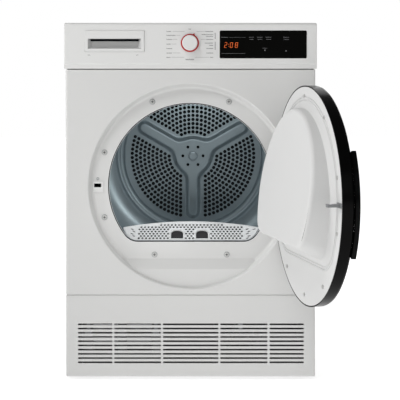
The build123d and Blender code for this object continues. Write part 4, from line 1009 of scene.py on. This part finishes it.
def seams():
    """Pale strips at the bottom of two narrow gaps: round the drawer and above the flap."""
    low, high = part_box("tank_front")
    grow, y = mm(0.4), low[1] + mm(0.75)
    corners = [(low[0] - grow, y, low[2] - grow), (high[0] + grow, y, low[2] - grow),
               (high[0] + grow, y, high[2] + grow), (low[0] - grow, y, high[2] + grow)]
    line = []
    for a, b in zip(corners, corners[1:] + corners[:1]):
        line += [Vector(a).lerp(Vector(b), i / 6) for i in range(6)]
    rolled("drawer_gap_strip", line, mm(0.37), True, "tank", FASCIA, sides=6)
    flap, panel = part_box("service_flap"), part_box("front_panel")
    middle = (flap[1][2] + panel[0][2]) / 2
    high = panel[0][2] - flap[1][2] - mm(0.3)
    seam = [bar(flap[0][0] + mm(3), flap[1][0] - mm(3), middle, high)]
    prints("flap_seam_strip", seam, flap[0][1] + mm(3.4), mm(1.6), "cabinet",
           ENAMEL)


def knob_front():
    """Dished face of the programme dial over its red ring, and the red pointer."""
    front = KNOB[0][1]
    profile = mm_pairs((17.9, 14.2), (17.9, 4.0), (17.6, 1.6), (16.9, 0.2), (15.8, -0.3),
                       (14.4, 0.0), (12.8, 0.3), (0, 0.5))
    turned("knob_face", [(r, front + deep) for r, deep in profile], DIAL_X, DIAL_Z, "knob",
           "white_plastic", FASCIA)
    turn = radians(90 - 25)
    ahead, across = (cos(turn), sin(turn)), (-sin(turn), cos(turn))
    tip = [(ahead[0] * mm(r) + across[0] * mm(w), ahead[1] * mm(r) + across[1] * mm(w))
           for r, w in ((20.6, -3.0), (25.4, 0.0), (20.6, 3.0))]
    ring_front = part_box("knob_ring")[0][1]
    bead = [(x, ring_front + mm(1.0), z) for x, z in circle(mm(20.2), 64, DIAL_X, DIAL_Z)]
    rolled("knob_ring_bead", bead, mm(1.3), True, "knob", RED_PLASTIC)
    prints("knob_pointer", [[(DIAL_X + x, DIAL_Z + z) for x, z in tip]], ring_front + mm(2.0),
           mm(2.0), "knob", RED_PLASTIC)


dial_scale()
display()
drawer_grip()
seams()
knob_front()


# ---------------------------------------------------------------- camera, light and floor
def lamp(name, kind, place, aim, power):
    """New light of that kind at place, looking at aim; returns its data."""
    data = bpy.data.lights.new(name, kind)
    data.energy = power
    light = bpy.data.objects.new(name, data)
    bpy.context.scene.collection.objects.link(light)
    light.location = place
    light.rotation_euler = (Vector(aim) - Vector(place)).to_track_quat("-Z", "Y").to_euler()
    return data


def area_light(name, place, aim, size, power):
    """Square soft light, size across."""
    lamp(name, "AREA", place, aim, power).size = size


def spot_light(name, place, aim, cone, blend, size, power):
    """Soft-edged spot of that cone in degrees, from a source size across."""
    data = lamp(name, "SPOT", place, aim, power)
    data.spot_size = radians(cone)
    data.spot_blend = blend
    data.shadow_soft_size = size


def studio():
    """White room with soft light, a pale floor and the camera in front of the machine."""
    scene = bpy.context.scene
    scene.view_settings.view_transform = "Standard"
    world = bpy.data.worlds.new("white_room")
    world.use_nodes = True
    nodes, links = world.node_tree.nodes, world.node_tree.links
    nodes["Background"].inputs["Color"].default_value = (1, 1, 1, 1)
    # the backdrop shows white, and lights the machine less than that
    path = nodes.new("ShaderNodeLightPath")
    power = nodes.new("ShaderNodeMapRange")
    power.inputs["To Min"].default_value = 0.22
    power.inputs["To Max"].default_value = 1.0
    links.new(path.outputs["Is Camera Ray"], power.inputs["Value"])
    links.new(power.outputs["Result"], nodes["Background"].inputs["Strength"])
    scene.world = world

    area_light("key_high_left", (-1.1, -2.1, 3.2), (0, -0.2, 0.45), 1.0, 31)
    area_light("front_left", (-1.3, -2.9, 1.55), (0, 0.0, 0.5), 0.8, 6.0)
    area_light("front_right", (1.5, -3.0, 1.2), (0, 0.0, 0.5), 0.9, 1.2)
    spot_light("fill_left", (-2.4, -0.78, 1.4), (0.22, -0.54, 0.47), 22, 0.4, 0.25, 120)
    area_light("back_high", (0.3, 2.4, 2.2), (0, 0.2, 0.6), 2.0, 16)
    # drum lamp, over the top edge of the loading opening
    area_light("drum_lamp", (0, -0.185, 0.705), (0, 0.12, 0.42), 0.20, 0.42)
    spot_light("drum_beam", (0.75, -2.2, 0.95), (-0.16, -0.05, 0.40), 9, 0.7, 0.05, 32)

    floor_mesh = bpy.data.meshes.new("floor")
    half = 14.0
    corners = [(-half, -half, 0), (half, -half, 0), (half, half, 0), (-half, half, 0)]
    floor_mesh.from_pydata(corners, [], [(0, 1, 2, 3)])
    floor = bpy.data.objects.new("floor", floor_mesh)
    scene.collection.objects.link(floor)
    floor.location.z = -0.0005
    sweep = surface("pale_floor", (0.86, 0.86, 0.86), vary=0.003, patch=1.0, rough=0.8,
                    grain=60.0, bump=0.01, specular=0.1)
    # the sheet glows more the further it lies from the machine, and so ends in white
    nodes, links = sweep.node_tree.nodes, sweep.node_tree.links
    shader = nodes["Principled BSDF"]
    shader.inputs["Emission Color"].default_value = (1, 1, 1, 1)
    place = nodes.new("ShaderNodeTexCoord")
    away = nodes.new("ShaderNodeVectorMath")
    away.operation = "LENGTH"
    links.new(place.outputs["Object"], away.inputs[0])
    spread = nodes.new("ShaderNodeMapRange")
    spread.inputs["From Min"].default_value = 0.4
    spread.inputs["From Max"].default_value = 2.2
    spread.inputs["To Min"].default_value = 0.72
    spread.inputs["To Max"].default_value = 1.0
    links.new(away.outputs["Value"], spread.inputs["Value"])
    links.new(spread.outputs["Result"], shader.inputs["Emission Strength"])
    paint(floor, sweep)

    lens = bpy.data.cameras.new("camera")
    lens.lens = 95.31
    lens.sensor_width = 36.0
    lens.shift_x = -0.0175
    lens.shift_y = -0.236
    camera = bpy.data.objects.new("camera", lens)
    scene.collection.objects.link(camera)
    camera.location = (0.039, -2.780, 0.674)
    camera.rotation_euler = (radians(90 - 0.56), 0, 0)
    scene.camera = camera


studio()
